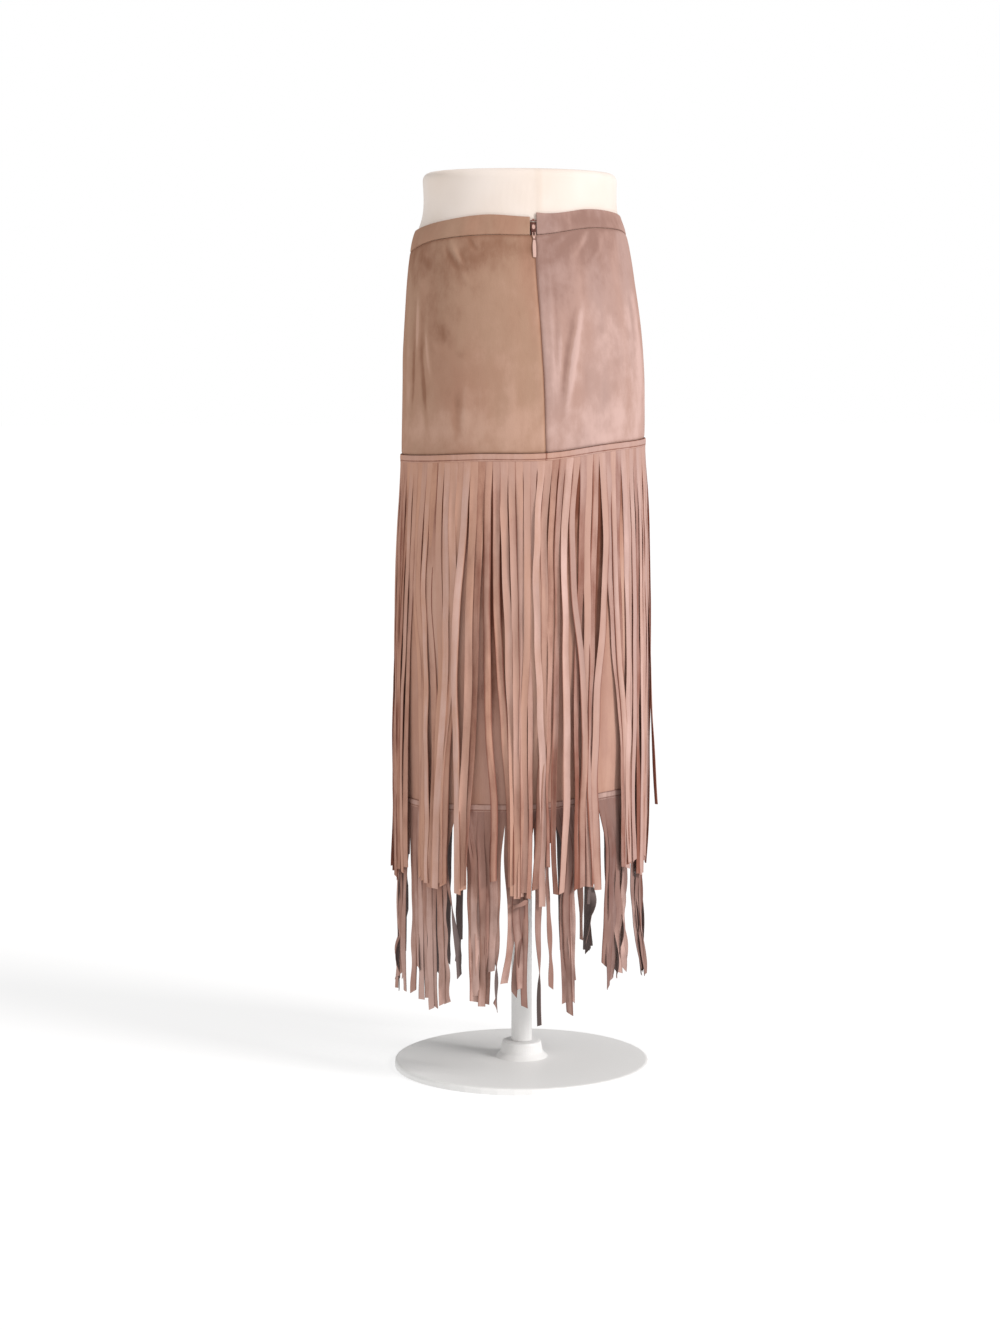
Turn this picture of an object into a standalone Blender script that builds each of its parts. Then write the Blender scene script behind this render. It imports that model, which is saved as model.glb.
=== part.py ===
"""A fringed midi skirt on a limbless dress form.

Metres, +Z up. The origin is the centre of the base's underside. The skirt's front faces -Y, its
zip faces +Y and its left side is +X. Angles go round the skirt from its left side seam (0) over
the centre back (90) to the right side seam (180) and the centre front (270).

Every cloth piece is a wall on one shape, the skirt's outer face, which place() works out from the
ring table. A piece is given by the angles that it spans, the heights of its two edges and how far
its two faces stand out from that shape.
"""

from collections import namedtuple

import bmesh
import bpy
import numpy as np
from mathutils import Matrix, Vector

# ---------------------------------------------------------------- driving sizes
GAP = 0.0003                # between neighbours, at seams and where one piece lies on another
WAIST_TOP = 1.020           # height of the waistband's upper edge at the centre back
CLOTH = 0.0014              # one layer of suede with its pile
BAND = 0.0024               # the waistband, two layers
HEADER_DROP = 0.009         # height of a fringe piece's uncut header, between its rows of stitching
BAND_STEP = 0.0050          # how much higher the band's right end stands at the zip
BAND_STEP_REACH = 25.0      # degrees within which that step fades out
ANGLE_STEP = 6.0            # degrees between the stations round the skirt
NEAREST_STATION = 0.6       # degrees between a piece's end and the next station, at least
BAND_ROWS = 4               # rows of points down each kind of panel
YOKE_ROWS = 10
SKIRT_ROWS = 6

ZIP_CENTRE = 0.0080         # the zip lies this far to the wearer's left of the middle
SEAM_LEAN = 0.0040          # the centre-back seam starts this far to the left at the band
SEAM_LEAN_REACH = 25.0      # degrees within which the yoke's points move along with it
ZIP_GAP = 0.0080            # width of the opening between the band's two ends
CHAIN_WIDTH = 0.0070
CHAIN_BACK = 0.0025         # the tape's back, inside the cloth's outer face
CHAIN_THICK = 0.00055
CHAIN_TOP = 1.0125
CHAIN_FOOT = 0.8400
CHAIN_ROWS = 10
CHAIN_DRAWN_TOP = 0.9900    # from here down the chain comes in behind the seam
CHAIN_DRAWN_IN = 0.050      # over this height

PIVOT_HEIGHT = 1.0005       # the pull tab's hinge axis
PIVOT_OUT = 0.0015          # its distance outside the cloth
PIVOT_CLEAR = 0.00075       # inner radius of the slider's crown
CROWN_RADIUS = 0.00155      # outer radius of the crown
CROWN_WIDTH = 0.0013
CROWN_SUNK = 0.0004         # how deep the crown's feet run into the slider
SLIDER_WIDTH = 0.0054
SLIDER_UP = 0.0120          # the slider follows the cloth from its crown to this far above it
SLIDER_BEVEL = 0.0003
PULL_DOWN = -0.0280         # the pull follows the cloth down to this far below the crown
PULL_THICK = 0.0009
PULL_BEVEL = 0.00015
HOOK_HEIGHT = 1.0135
HOOK_INSIDE = 0.0009        # the hook's middle, inside the cloth's outer face
HOOK_THICK = 0.0009
HOOK_BEVEL = 0.0002
BEVEL_STEPS = 2

FORM_TOP = 1.075
FORM_FOOT = 0.680
FORM_SEAT = 0.00280         # form to the outer face of the cloth, at the waistband
FORM_SLACK = 0.0042         # and below it, where the yoke hangs free
FORM_ROUND = 0.010          # how far its top and its foot are rounded off
FORM_WAIST_ROW = 0.007      # between the rows of points where the waist curves
FORM_HIP_ROWS = 9
FORM_TUCK_TOP = 0.030       # below the waistband's top: the form starts to draw in from the cloth
FORM_TUCK = 0.050           # height over which it does so
POLE_RADIUS = 0.0125
POLE_SIDES = 32
HUB_TOP = 0.0300
BASE_SIDES = 48

# Half sizes of the skirt's outer face at each distance below the waistband's upper edge.
Ring = namedtuple("Ring", "drop half_width back_depth front_depth centre_x")
RINGS = (
    Ring(-0.060, 0.1190, 0.0965, 0.0960, 0.0030),
    Ring(0.000, 0.1210, 0.0985, 0.0980, 0.0022),
    Ring(0.018, 0.1272, 0.1004, 0.1000, 0.0022),
    Ring(0.046, 0.1330, 0.1050, 0.1035, 0.0022),
    Ring(0.075, 0.1367, 0.1102, 0.1060, 0.0016),
    Ring(0.103, 0.1397, 0.1150, 0.1085, 0.0004),
    Ring(0.131, 0.1422, 0.1200, 0.1110, -0.0005),
    Ring(0.160, 0.1441, 0.1240, 0.1130, -0.0010),
    Ring(0.188, 0.1449, 0.1268, 0.1150, -0.0016),
    Ring(0.217, 0.1453, 0.1280, 0.1160, -0.0016),
    Ring(0.275, 0.1460, 0.1285, 0.1165, -0.0012),
    Ring(0.480, 0.1466, 0.1280, 0.1168, -0.0004),
    Ring(0.680, 0.1470, 0.1278, 0.1170, 0.0000),
    Ring(0.960, 0.1470, 0.1278, 0.1170, 0.0000),
)

# How far each edge lies above (+) or below (-) WAIST_TOP: the skirt sits a little askew.
Edge = namedtuple("Edge", "angle band_top band_seam yoke_seam hem_seam upper_tips lower_tips")
EDGES = (
    Edge(0, -0.0120, -0.0370, -0.2760, -0.6810, -0.7800, -0.9250),
    Edge(30, -0.0050, -0.0265, -0.2755, -0.6830, -0.7820, -0.9270),
    Edge(60, 0.0012, -0.0222, -0.2730, -0.6810, -0.7820, -0.9270),
    Edge(90, -0.0012, -0.0220, -0.2720, -0.6790, -0.7800, -0.9250),
    Edge(120, 0.0088, -0.0130, -0.2630, -0.6710, -0.7740, -0.9180),
    Edge(150, 0.0076, -0.0128, -0.2585, -0.6700, -0.7700, -0.9140),
    Edge(180, 0.0030, -0.0190, -0.2560, -0.6680, -0.7680, -0.9120),
    Edge(225, -0.0020, -0.0260, -0.2580, -0.6680, -0.7680, -0.9120),
    Edge(270, -0.0060, -0.0305, -0.2650, -0.6730, -0.7720, -0.9170),
    Edge(315, -0.0100, -0.0350, -0.2720, -0.6780, -0.7770, -0.9220),
)

# The largest folds: soft ridges (+) that run from one angle to another.
Fold = namedtuple("Fold", "angle_top angle_foot drop_top drop_foot rise half_width")
FOLDS = (
    Fold(111, 98, 0.080, 0.255, 0.0022, 0.0080),
    Fold(22, 24, 0.080, 0.235, 0.0020, 0.0070),
    Fold(31, 33, 0.120, 0.262, 0.0016, 0.0060),
    Fold(147, 150, 0.090, 0.240, 0.0014, 0.0080),
    Fold(249, 262, 0.080, 0.250, 0.0020, 0.0080),
    Fold(318, 312, 0.090, 0.240, 0.0016, 0.0070),
    Fold(205, 203, 0.100, 0.250, 0.0014, 0.0070),
)

# How far a hanging fringe's faces stand outside the skirt, below its stitched header.
Hang = namedtuple("Hang", "below inner outer")
UPPER_HANG = (
    Hang(0.000, 0.0003, 0.0015),
    Hang(0.009, 0.0003, 0.0015),
    Hang(0.035, 0.0010, 0.0030),
    Hang(0.100, 0.0034, 0.0064),
    Hang(0.190, 0.0060, 0.0090),
    Hang(0.330, 0.0080, 0.0110),
    Hang(0.600, 0.0080, 0.0110),
)
LOWER_HANG = (
    Hang(0.000, 0.0003, 0.0015),
    Hang(0.009, 0.0003, 0.0015),
    Hang(0.040, 0.0003, 0.0028),
    Hang(0.400, 0.0003, 0.0033),
)

# The pull tab's outline, from its eye down to its square-cut foot.
Half = namedtuple("Half", "along half_width")
PULL_OUTLINE = (
    Half(-0.00045, 0.00150),
    Half(0.00020, 0.00190),
    Half(0.00300, 0.00190),
    Half(0.00600, 0.00125),
    Half(0.00850, 0.00120),
    Half(0.01250, 0.00190),
    Half(0.01700, 0.00255),
    Half(0.02150, 0.00250),
    Half(0.02600, 0.00205),
    Half(0.02900, 0.00165),
)
PULL_EYE = (
    Half(0.00045, 0.00105),
    Half(0.00260, 0.00105),
    Half(0.00480, 0.00045),
)

# The slider's side: out from the hinge axis and up from it. Its back stays clear of the chain.
Side = namedtuple("Side", "out up")
SLIDER_BACK = -PIVOT_OUT - CHAIN_BACK + CHAIN_THICK + 2 * GAP
SLIDER_SIDE = (
    Side(SLIDER_BACK, -0.00135),
    Side(-PIVOT_CLEAR, -0.00135),
    Side(-PIVOT_CLEAR, 0.00750),
    Side(-PIVOT_CLEAR - 0.0006, 0.00980),
    Side(SLIDER_BACK + 0.0008, 0.01100),
    Side(SLIDER_BACK, 0.01100),
)

# The hook and its bar seen from behind: across from the zip's line and up from the bar's foot.
Front = namedtuple("Front", "across up")
HOOK_OUTLINE = (
    Front(-0.0036, 0.0000),
    Front(0.0036, 0.0000),
    Front(0.0036, 0.0011),
    Front(0.0016, 0.0011),
    Front(0.0016, 0.0026),
    Front(-0.0016, 0.0026),
    Front(-0.0016, 0.0011),
    Front(-0.0036, 0.0011),
)

# How the form's top and foot are rounded off, in parts of FORM_ROUND.
Soft = namedtuple("Soft", "from_end inset")
FORM_END = (
    Soft(0.00, 1.00),
    Soft(0.15, 0.55),
    Soft(0.50, 0.15),
    Soft(1.00, 0.00),
)

# The base and its hub, turned about the pole, from the hub's top down to the floor.
Turn = namedtuple("Turn", "radius height")
BASE_PROFILE = (
    Turn(0.0210, HUB_TOP),
    Turn(0.0231, HUB_TOP - 0.0009),
    Turn(0.0240, HUB_TOP - 0.0030),
    Turn(0.0260, 0.0160),
    Turn(0.0320, 0.0100),
    Turn(0.1520, 0.0080),
    Turn(0.1541, 0.0071),
    Turn(0.1550, 0.0050),
    Turn(0.1550, 0.0000),
)

# Surfaces: red, green, blue, roughness, metallic.
Look = namedtuple("Look", "colour roughness metallic")
SUEDE_LEFT = Look((0.41, 0.24, 0.17), 0.95, 0.0)
SUEDE_RIGHT = Look((0.50, 0.31, 0.25), 0.95, 0.0)
SUEDE_FRINGE = Look((0.54, 0.33, 0.26), 0.95, 0.0)
TAPE = Look((0.20, 0.11, 0.08), 0.80, 0.0)
BRONZE = Look((0.16, 0.08, 0.06), 0.40, 0.9)
ENAMEL = Look((0.68, 0.44, 0.38), 0.35, 0.0)
JERSEY = Look((0.90, 0.80, 0.71), 0.90, 0.0)
WHITE_STEEL = Look((0.80, 0.79, 0.77), 0.35, 0.0)


# ---------------------------------------------------------------- shape of the skirt
def smooth(xs, ys, x):
    """A smooth curve through the points (xs, ys), read at x: cubic pieces with central slopes."""
    xs = np.asarray(xs, float)
    ys = np.asarray(ys, float)
    slopes = np.gradient(ys, xs)
    x = np.clip(x, xs[0], xs[-1])
    i = np.clip(np.searchsorted(xs, x, side="right") - 1, 0, len(xs) - 2)
    span = xs[i + 1] - xs[i]
    s = (x - xs[i]) / span
    start = (1 + 2 * s) * (1 - s) ** 2 * ys[i] + s * (1 - s) ** 2 * span * slopes[i]
    end = s * s * (3 - 2 * s) * ys[i + 1] + s * s * (s - 1) * span * slopes[i + 1]
    return start + end


def column(rows, key, name, x):
    """Reads one named column of a table along another."""
    return smooth([getattr(row, key) for row in rows], [getattr(row, name) for row in rows], x)


def edge(name, angle):
    """Height of a seam or an edge all round the skirt."""
    turns = [row.angle + turn for turn in (-360, 0, 360) for row in EDGES]
    rises = [getattr(row, name) for row in EDGES] * 3
    return WAIST_TOP + smooth(turns, rises, angle)


def fold_relief(angle, drop):
    """How far the folds lift the cloth: a bell across each fold that fades out at its ends."""
    relief = np.zeros(np.broadcast(angle, drop).shape)
    for fold in FOLDS:
        along = (drop - fold.drop_top) / (fold.drop_foot - fold.drop_top)
        line = fold.angle_top + (fold.angle_foot - fold.angle_top) * along
        radius = column(RINGS, "drop", "half_width", drop)
        across = np.radians(angle - line) * radius / fold.half_width
        fade = np.sin(np.pi * np.clip(along, 0, 1)) ** 2
        relief += fold.rise * fade * np.exp(-across ** 2)
    return relief


def place(angle, height, out, folded=True):
    """The point at an angle and a height, this far outside the skirt's outer face."""
    drop = WAIST_TOP - height
    turn = np.radians(angle)
    if folded:
        out = out + fold_relief(angle, drop)
    back_depth = column(RINGS, "drop", "back_depth", drop)
    front_depth = column(RINGS, "drop", "front_depth", drop)
    half_depth = np.where(np.sin(turn) > 0, back_depth, front_depth)
    half_width = column(RINGS, "drop", "half_width", drop)
    x = column(RINGS, "drop", "centre_x", drop) + (half_width + out) * np.cos(turn)
    y = (half_depth + out) * np.sin(turn)
    return np.stack([x, y, height + 0 * x], axis=-1)


def angle_at(x, height):
    """The angle on the back of the skirt that lies at this x."""
    drop = WAIST_TOP - height
    cosine = (x - column(RINGS, "drop", "centre_x", drop)) / column(RINGS, "drop", "half_width", drop)
    return float(np.degrees(np.arccos(cosine)))


# ---------------------------------------------------------------- making objects
def material(name, look):
    """A Principled material of one colour."""
    made = bpy.data.materials.new(name)
    made.use_nodes = True
    made.diffuse_color = (*look.colour, 1.0)
    shader = made.node_tree.nodes["Principled BSDF"]
    shader.inputs["Base Color"].default_value = (*look.colour, 1.0)
    shader.inputs["Roughness"].default_value = look.roughness
    shader.inputs["Metallic"].default_value = look.metallic
    return made


def add_object(name, points, faces, look, sharp=40.0):
    """A mesh object from points and faces, shaded smooth up to this edge angle."""
    mesh = bpy.data.meshes.new(name)
    mesh.from_pydata([tuple(point) for point in points], [], faces)
    mesh.shade_smooth()
    mesh.set_sharp_from_angle(angle=np.radians(sharp))
    mesh.materials.append(material(name, look))
    made = bpy.data.objects.new(name, mesh)
    bpy.context.collection.objects.link(made)
    return made


def grid_faces(rows, columns, first, step):
    """Quads of a grid whose points are numbered from first, row by row; step -1 turns them over."""
    faces = []
    for row in range(rows - 1):
        for col in range(columns - 1):
            a = first + row * columns + col
            quad = (a, a + columns, a + columns + 1, a + 1)
            faces.append(quad[::step])
    return faces


def box_of_grids(outer, inner):
    """Closes two grids of one size into a wall: outer face, inner face and the four rims."""
    rows, columns = outer.shape[:2]
    count = rows * columns
    points = np.concatenate([outer.reshape(-1, 3), inner.reshape(-1, 3)])
    faces = grid_faces(rows, columns, 0, 1) + grid_faces(rows, columns, count, -1)
    for col in range(columns - 1):
        top = col
        foot = (rows - 1) * columns + col
        faces.append((top, top + 1, top + 1 + count, top + count))
        faces.append((foot + 1, foot, foot + count, foot + 1 + count))
    for row in range(rows - 1):
        start = row * columns
        end = start + columns - 1
        faces.append((start + columns, start, start + count, start + columns + count))
        faces.append((end, end + columns, end + columns + count, end + count))
    return points, faces


def stations(start, end):
    """Angles from start to end with every multiple of ANGLE_STEP between them."""
    first = np.floor(start / ANGLE_STEP) * ANGLE_STEP + ANGLE_STEP
    between = np.arange(first, end - 1e-6, ANGLE_STEP)
    between = between[(between > start + NEAREST_STATION) & (between < end - NEAREST_STATION)]
    return np.concatenate([[start], between, [end]])


def seam_angles(start, end):
    """The stations of a piece that stops half a gap short of the seams at its two ends."""
    short = np.degrees(GAP / 2 / RINGS[1].front_depth)
    return stations(start + short, end - short)


def cloth(name, angles, heights, faces_out, look):
    """A wall of cloth. heights and faces_out have one row for each row of points."""
    outer = [place(angles, height, out) for height, (inner, out) in zip(heights, faces_out)]
    inner = [place(angles, height, inner) for height, (inner, out) in zip(heights, faces_out)]
    points, faces = box_of_grids(np.array(outer), np.array(inner))
    return add_object(name, points, faces, look)


def plain_rows(top, foot, count):
    """Heights of evenly spaced rows between two edges, which may rise and fall with the angle."""
    return [top + (foot - top) * step for step in np.linspace(0, 1, count)]


# ---------------------------------------------------------------- cloth pieces
def waistband(name, start, end, step, look):
    """One piece of the waistband; step is how far its end at the zip is lifted."""
    angles = stations(start, end)
    lift = step * np.clip(1 - (angles - start) / BAND_STEP_REACH, 0, 1) ** 2
    top = edge("band_top", angles) + lift
    foot = edge("band_seam", angles) + GAP / 2
    rows = plain_rows(top, foot, BAND_ROWS)
    return cloth(name, angles, rows, [(-BAND, 0.0)] * len(rows), look)


def leaning(angles, step):
    """The stations of one row of a yoke panel, carried along by the centre-back seam, which leans
    to the left at the band (step 0) and comes back to the middle at the fringe (step 1)."""
    lean = np.degrees(SEAM_LEAN / RINGS[1].half_width) * (1 - step ** 2)
    near_seam = np.clip(1 - np.abs(angles - 90) / SEAM_LEAN_REACH, 0, 1)
    return angles - lean * near_seam


def yoke(name, start, end, look):
    """One panel of the fitted yoke, from the waistband to the first fringe seam."""
    outer = []
    inner = []
    for step in np.linspace(0, 1, YOKE_ROWS):
        angles = leaning(seam_angles(start, end), step)
        top = edge("band_seam", angles) - GAP / 2
        foot = edge("yoke_seam", angles) + GAP / 2
        height = top + (foot - top) * step
        outer.append(place(angles, height, 0.0))
        inner.append(place(angles, height, -CLOTH))
    points, faces = box_of_grids(np.array(outer), np.array(inner))
    return add_object(name, points, faces, look)


def lower_skirt(name, start, end, look):
    """One panel of the plain lower skirt, behind the upper fringe and down behind the hem's header."""
    angles = seam_angles(start, end)
    top = edge("yoke_seam", angles) - GAP / 2
    foot = edge("hem_seam", angles) - HEADER_DROP
    rows = plain_rows(top, foot, SKIRT_ROWS)
    return cloth(name, angles, rows, [(-CLOTH, 0.0)] * len(rows), look)


def fringe(name, start, end, seam, tips, hang):
    """The reach of one fringe piece: its header and, below, the space that its strips hang in."""
    angles = seam_angles(start, end)
    top = edge(seam, angles) - GAP / 2
    length = top - edge(tips, angles)
    heights = [top - np.minimum(row.below, length) for row in hang]
    faces_out = [(row.inner, row.outer) for row in hang]
    return cloth(name, angles, heights, faces_out, SUEDE_FRINGE)


def build_cloth():
    """All the cloth pieces of the skirt."""
    short = np.degrees(GAP / 2 / RINGS[1].front_depth)
    left_end = angle_at(ZIP_CENTRE + ZIP_GAP / 2, WAIST_TOP)
    right_end = angle_at(ZIP_CENTRE - ZIP_GAP / 2, WAIST_TOP)
    waistband("waistband_front", 180 + short, 360 - short, 0.0, SUEDE_LEFT)
    waistband("waistband_back_left", short, left_end, 0.0, SUEDE_LEFT)
    waistband("waistband_back_right", right_end, 180 - short, BAND_STEP, SUEDE_RIGHT)
    yoke("yoke_front", 180, 360, SUEDE_LEFT)
    yoke("yoke_back_left", 0, 90, SUEDE_LEFT)
    yoke("yoke_back_right", 90, 180, SUEDE_RIGHT)
    for side, start in (("back", 0), ("front", 180)):
        end = start + 180
        lower_skirt("skirt_" + side, start, end, SUEDE_LEFT)
        fringe("fringe_upper_" + side, start, end, "yoke_seam", "upper_tips", UPPER_HANG)
        fringe("fringe_lower_" + side, start, end, "hem_seam", "lower_tips", LOWER_HANG)


# ---------------------------------------------------------------- zip
def on_zip(height, out):
    """The point on the zip's line at this height, this far outside the cloth."""
    return Vector(place(angle_at(ZIP_CENTRE, height), height, out, folded=False))


def zip_frame(reach):
    """A matrix on the pull's hinge axis: X across, Y out of the cloth, Z up along the stretch of
    cloth between the axis and this reach above (+) or below (-) it."""
    here = on_zip(PIVOT_HEIGHT, 0.0)
    there = on_zip(PIVOT_HEIGHT + reach, 0.0)
    up = ((there - here) * reach).normalized()
    across = Vector((1, 0, 0))
    out = up.cross(across)
    axes = Matrix((across, out, up)).transposed()
    origin = here + Vector((0, PIVOT_OUT, 0))
    return Matrix.Translation(origin) @ axes.to_4x4()


def extruded(name, ring, shift, look, bevel=0.0):
    """A closed solid: a flat ring of points carried along by shift, its edges bevelled if asked."""
    mesh = bmesh.new()
    mesh.faces.new([mesh.verts.new(point) for point in ring])
    grown = bmesh.ops.extrude_face_region(mesh, geom=mesh.faces[:])
    moved = [item for item in grown["geom"] if isinstance(item, bmesh.types.BMVert)]
    bmesh.ops.translate(mesh, verts=moved, vec=shift)
    bmesh.ops.recalc_face_normals(mesh, faces=mesh.faces[:])
    data = bpy.data.meshes.new(name)
    mesh.to_mesh(data)
    mesh.free()
    data.materials.append(material(name, look))
    made = bpy.data.objects.new(name, data)
    bpy.context.collection.objects.link(made)
    if bevel:
        edges = made.modifiers.new("bevel", "BEVEL")
        edges.width = bevel
        edges.segments = BEVEL_STEPS
        edges.limit_method = "ANGLE"
    return made


def combine(target, tool, operation):
    """Joins a tool solid to another or cuts it away, and leaves the tool itself out of view."""
    tool.hide_render = True
    tool.display_type = "WIRE"
    step = target.modifiers.new(tool.name, "BOOLEAN")
    step.operation = operation
    step.object = tool


def hanging_outline(rows, back):
    """A closed ring of points from a table of half widths along a flat piece that hangs down."""
    right = [(row.half_width, back, -row.along) for row in rows]
    left = [(-row.half_width, back, -row.along) for row in reversed(rows)]
    return right + left


def crown_outline(side):
    """The crown: a half ring round the hinge axis whose two feet run down into the slider."""
    turns = np.linspace(0, np.pi, 9)
    sunk = -PIVOT_CLEAR - CROWN_SUNK
    outer = [(side, CROWN_RADIUS * np.sin(turn), CROWN_RADIUS * np.cos(turn)) for turn in turns]
    inner = [(side, PIVOT_CLEAR * np.sin(turn), PIVOT_CLEAR * np.cos(turn)) for turn in turns[::-1]]
    start = [(side, sunk, CROWN_RADIUS)]
    middle = [(side, sunk, -CROWN_RADIUS), (side, sunk, -PIVOT_CLEAR)]
    end = [(side, sunk, PIVOT_CLEAR)]
    return start + outer + middle + inner + end


def build_chain():
    """The closed zip chain and its tape: a thin strip just inside the cloth, in the middle of the
    band's opening at the top and behind the centre-back seam further down."""
    heights = np.linspace(CHAIN_TOP, CHAIN_FOOT, CHAIN_ROWS)
    drawn_in = np.clip((CHAIN_DRAWN_TOP - heights) / CHAIN_DRAWN_IN, 0, 1)
    middles = ZIP_CENTRE + (SEAM_LEAN - ZIP_CENTRE) * drawn_in
    sides = CHAIN_WIDTH * np.array((0.5, 0.0, -0.5))
    faces = []
    for out in (CHAIN_THICK - CHAIN_BACK, -CHAIN_BACK):
        faces.append([[place(angle_at(middle + side, z), z, out, folded=False) for side in sides]
                      for middle, z in zip(middles, heights)])
    points, quads = box_of_grids(np.array(faces[0]), np.array(faces[1]))
    add_object("zip_chain", points, quads, TAPE)


def build_slider():
    """The slider: a body that follows the waistband, with the crown that holds the pull."""
    frame = zip_frame(SLIDER_UP)
    ring = [(-SLIDER_WIDTH / 2, row.out, row.up) for row in SLIDER_SIDE]
    slider = extruded("zip_slider", ring, (SLIDER_WIDTH, 0, 0), BRONZE, SLIDER_BEVEL)
    crown = extruded("zip_crown", crown_outline(-CROWN_WIDTH / 2), (CROWN_WIDTH, 0, 0), BRONZE)
    slider.matrix_world = frame
    crown.matrix_world = frame
    combine(slider, crown, "UNION")


def build_pull():
    """The pull tab, hung in the crown by the eye at its upper end."""
    frame = zip_frame(PULL_DOWN)
    ring = hanging_outline(PULL_OUTLINE, -PULL_THICK / 2)
    pull = extruded("zip_pull", ring, (0, PULL_THICK, 0), ENAMEL, PULL_BEVEL)
    hole = hanging_outline(PULL_EYE, -PULL_THICK)
    eye = extruded("zip_pull_eye", hole, (0, 2 * PULL_THICK, 0), ENAMEL)
    pull.matrix_world = frame
    eye.matrix_world = frame
    combine(pull, eye, "DIFFERENCE")
    pull.modifiers.move(len(pull.modifiers) - 1, 0)


def build_hook():
    """The hook and its bar, between the waistband's two ends."""
    ring = [(row.across, -HOOK_THICK / 2, row.up) for row in HOOK_OUTLINE]
    hook = extruded("hook_and_bar", ring, (0, HOOK_THICK, 0), BRONZE, HOOK_BEVEL)
    hook.location = on_zip(HOOK_HEIGHT, -HOOK_INSIDE)


# ---------------------------------------------------------------- dress form
def lathe_faces(rows, sides):
    """Faces of a closed stack of rings, numbered ring by ring from the top, with flat ends."""
    faces = []
    for row in range(rows - 1):
        for col in range(sides):
            a = row * sides + col
            b = row * sides + (col + 1) % sides
            faces.append((a, a + sides, b + sides, b))
    faces.append(tuple(range(sides)))
    faces.append(tuple(range((rows - 1) * sides, rows * sides))[::-1])
    return faces


def build_torso():
    """The torso that the skirt is worn on: the skirt's own shape, a little smaller, rounded off
    at its top and its foot."""
    waist = np.arange(FORM_TOP - 2 * FORM_ROUND, WAIST_TOP - FORM_TUCK, -FORM_WAIST_ROW)
    hips = np.linspace(waist[-1], FORM_FOOT + FORM_ROUND, FORM_HIP_ROWS + 1)[1:-1]
    levels = [(FORM_TOP - row.from_end * FORM_ROUND, row.inset * FORM_ROUND) for row in FORM_END]
    levels += [(height, 0.0) for height in np.concatenate([waist, hips])]
    levels += [(FORM_FOOT + row.from_end * FORM_ROUND, row.inset * FORM_ROUND)
               for row in reversed(FORM_END)]
    angles = np.arange(0, 360, ANGLE_STEP)
    rings = []
    for height, inset in levels:
        tuck = np.clip((WAIST_TOP - FORM_TUCK_TOP - height) / FORM_TUCK, 0, 1)
        clear = FORM_SEAT + (FORM_SLACK - FORM_SEAT) * tuck
        rings.append(place(angles, height, -clear - inset, folded=False))
    faces = lathe_faces(len(rings), len(angles))
    add_object("form_torso", np.concatenate(rings), faces, JERSEY)


def turned(name, profile, sides, look):
    """A solid of revolution about the pole from a table of radii and heights, top to bottom."""
    turns = np.linspace(0, 2 * np.pi, sides, endpoint=False)
    rings = []
    for row in profile:
        ring = [row.radius * np.cos(turns), row.radius * np.sin(turns), np.full(sides, row.height)]
        rings.append(np.stack(ring, axis=1))
    add_object(name, np.concatenate(rings), lathe_faces(len(profile), sides), look)


def build_stand():
    """The pole and the round base with its hub."""
    pole = (Turn(POLE_RADIUS, FORM_FOOT - GAP), Turn(POLE_RADIUS, HUB_TOP + GAP))
    turned("form_pole", pole, POLE_SIDES, WHITE_STEEL)
    turned("form_base", BASE_PROFILE, BASE_SIDES, WHITE_STEEL)


# ---------------------------------------------------------------- build
def main():
    """Clears the scene and builds the skirt on its form."""
    for old in list(bpy.data.objects):
        bpy.data.objects.remove(old, do_unlink=True)
    build_cloth()
    build_chain()
    build_slider()
    build_pull()
    build_hook()
    build_torso()
    build_stand()


main()
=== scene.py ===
# %% [markdown]
# # A fringed midi skirt on its dress form
#
# The skirt is sewn from faux suede: a narrow waistband, a fitted yoke in three panels, and a plain
# lower skirt that carries two tiers of cut fringe. It closes with a hidden zip at the centre back.
# It could be thrown over the form as one simulated cloth, but a fitted skirt hardly moves, so each
# piece here is a worked-out shell on the imported frame, the fringe strips too, each laid out as it
# hangs.
#
# Everything is in metres. The skirt's front faces -Y, its zip faces +Y and its left side is +X.

# %% Tools and the imported frame
from collections import namedtuple

import bmesh
import bpy
import numpy as np
from mathutils import Matrix, Vector


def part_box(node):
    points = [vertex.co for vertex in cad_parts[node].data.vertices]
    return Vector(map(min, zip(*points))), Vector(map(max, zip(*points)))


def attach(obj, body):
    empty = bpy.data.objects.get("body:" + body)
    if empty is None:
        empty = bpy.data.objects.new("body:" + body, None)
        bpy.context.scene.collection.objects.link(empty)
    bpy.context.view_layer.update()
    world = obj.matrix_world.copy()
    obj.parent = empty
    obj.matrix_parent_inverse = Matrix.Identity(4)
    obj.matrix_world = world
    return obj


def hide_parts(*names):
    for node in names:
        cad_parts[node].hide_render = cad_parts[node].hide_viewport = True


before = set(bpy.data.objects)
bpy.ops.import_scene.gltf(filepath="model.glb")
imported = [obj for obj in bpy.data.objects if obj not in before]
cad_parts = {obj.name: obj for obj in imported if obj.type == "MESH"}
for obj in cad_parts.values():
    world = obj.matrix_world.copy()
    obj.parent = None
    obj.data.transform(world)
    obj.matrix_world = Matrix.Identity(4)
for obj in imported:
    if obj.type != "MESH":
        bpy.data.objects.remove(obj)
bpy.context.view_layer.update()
CLOTH_BODY = "skirt_on_form"
MM = 0.001

# %% [markdown]
# ## Camera
#
# The viewer stands behind the skirt, a little to its left side, and looks down slightly from about
# chest height. The camera could be aimed with a constraint. It is set from its place and the three
# directions of its view instead, so that nothing has to be solved later.

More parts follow.
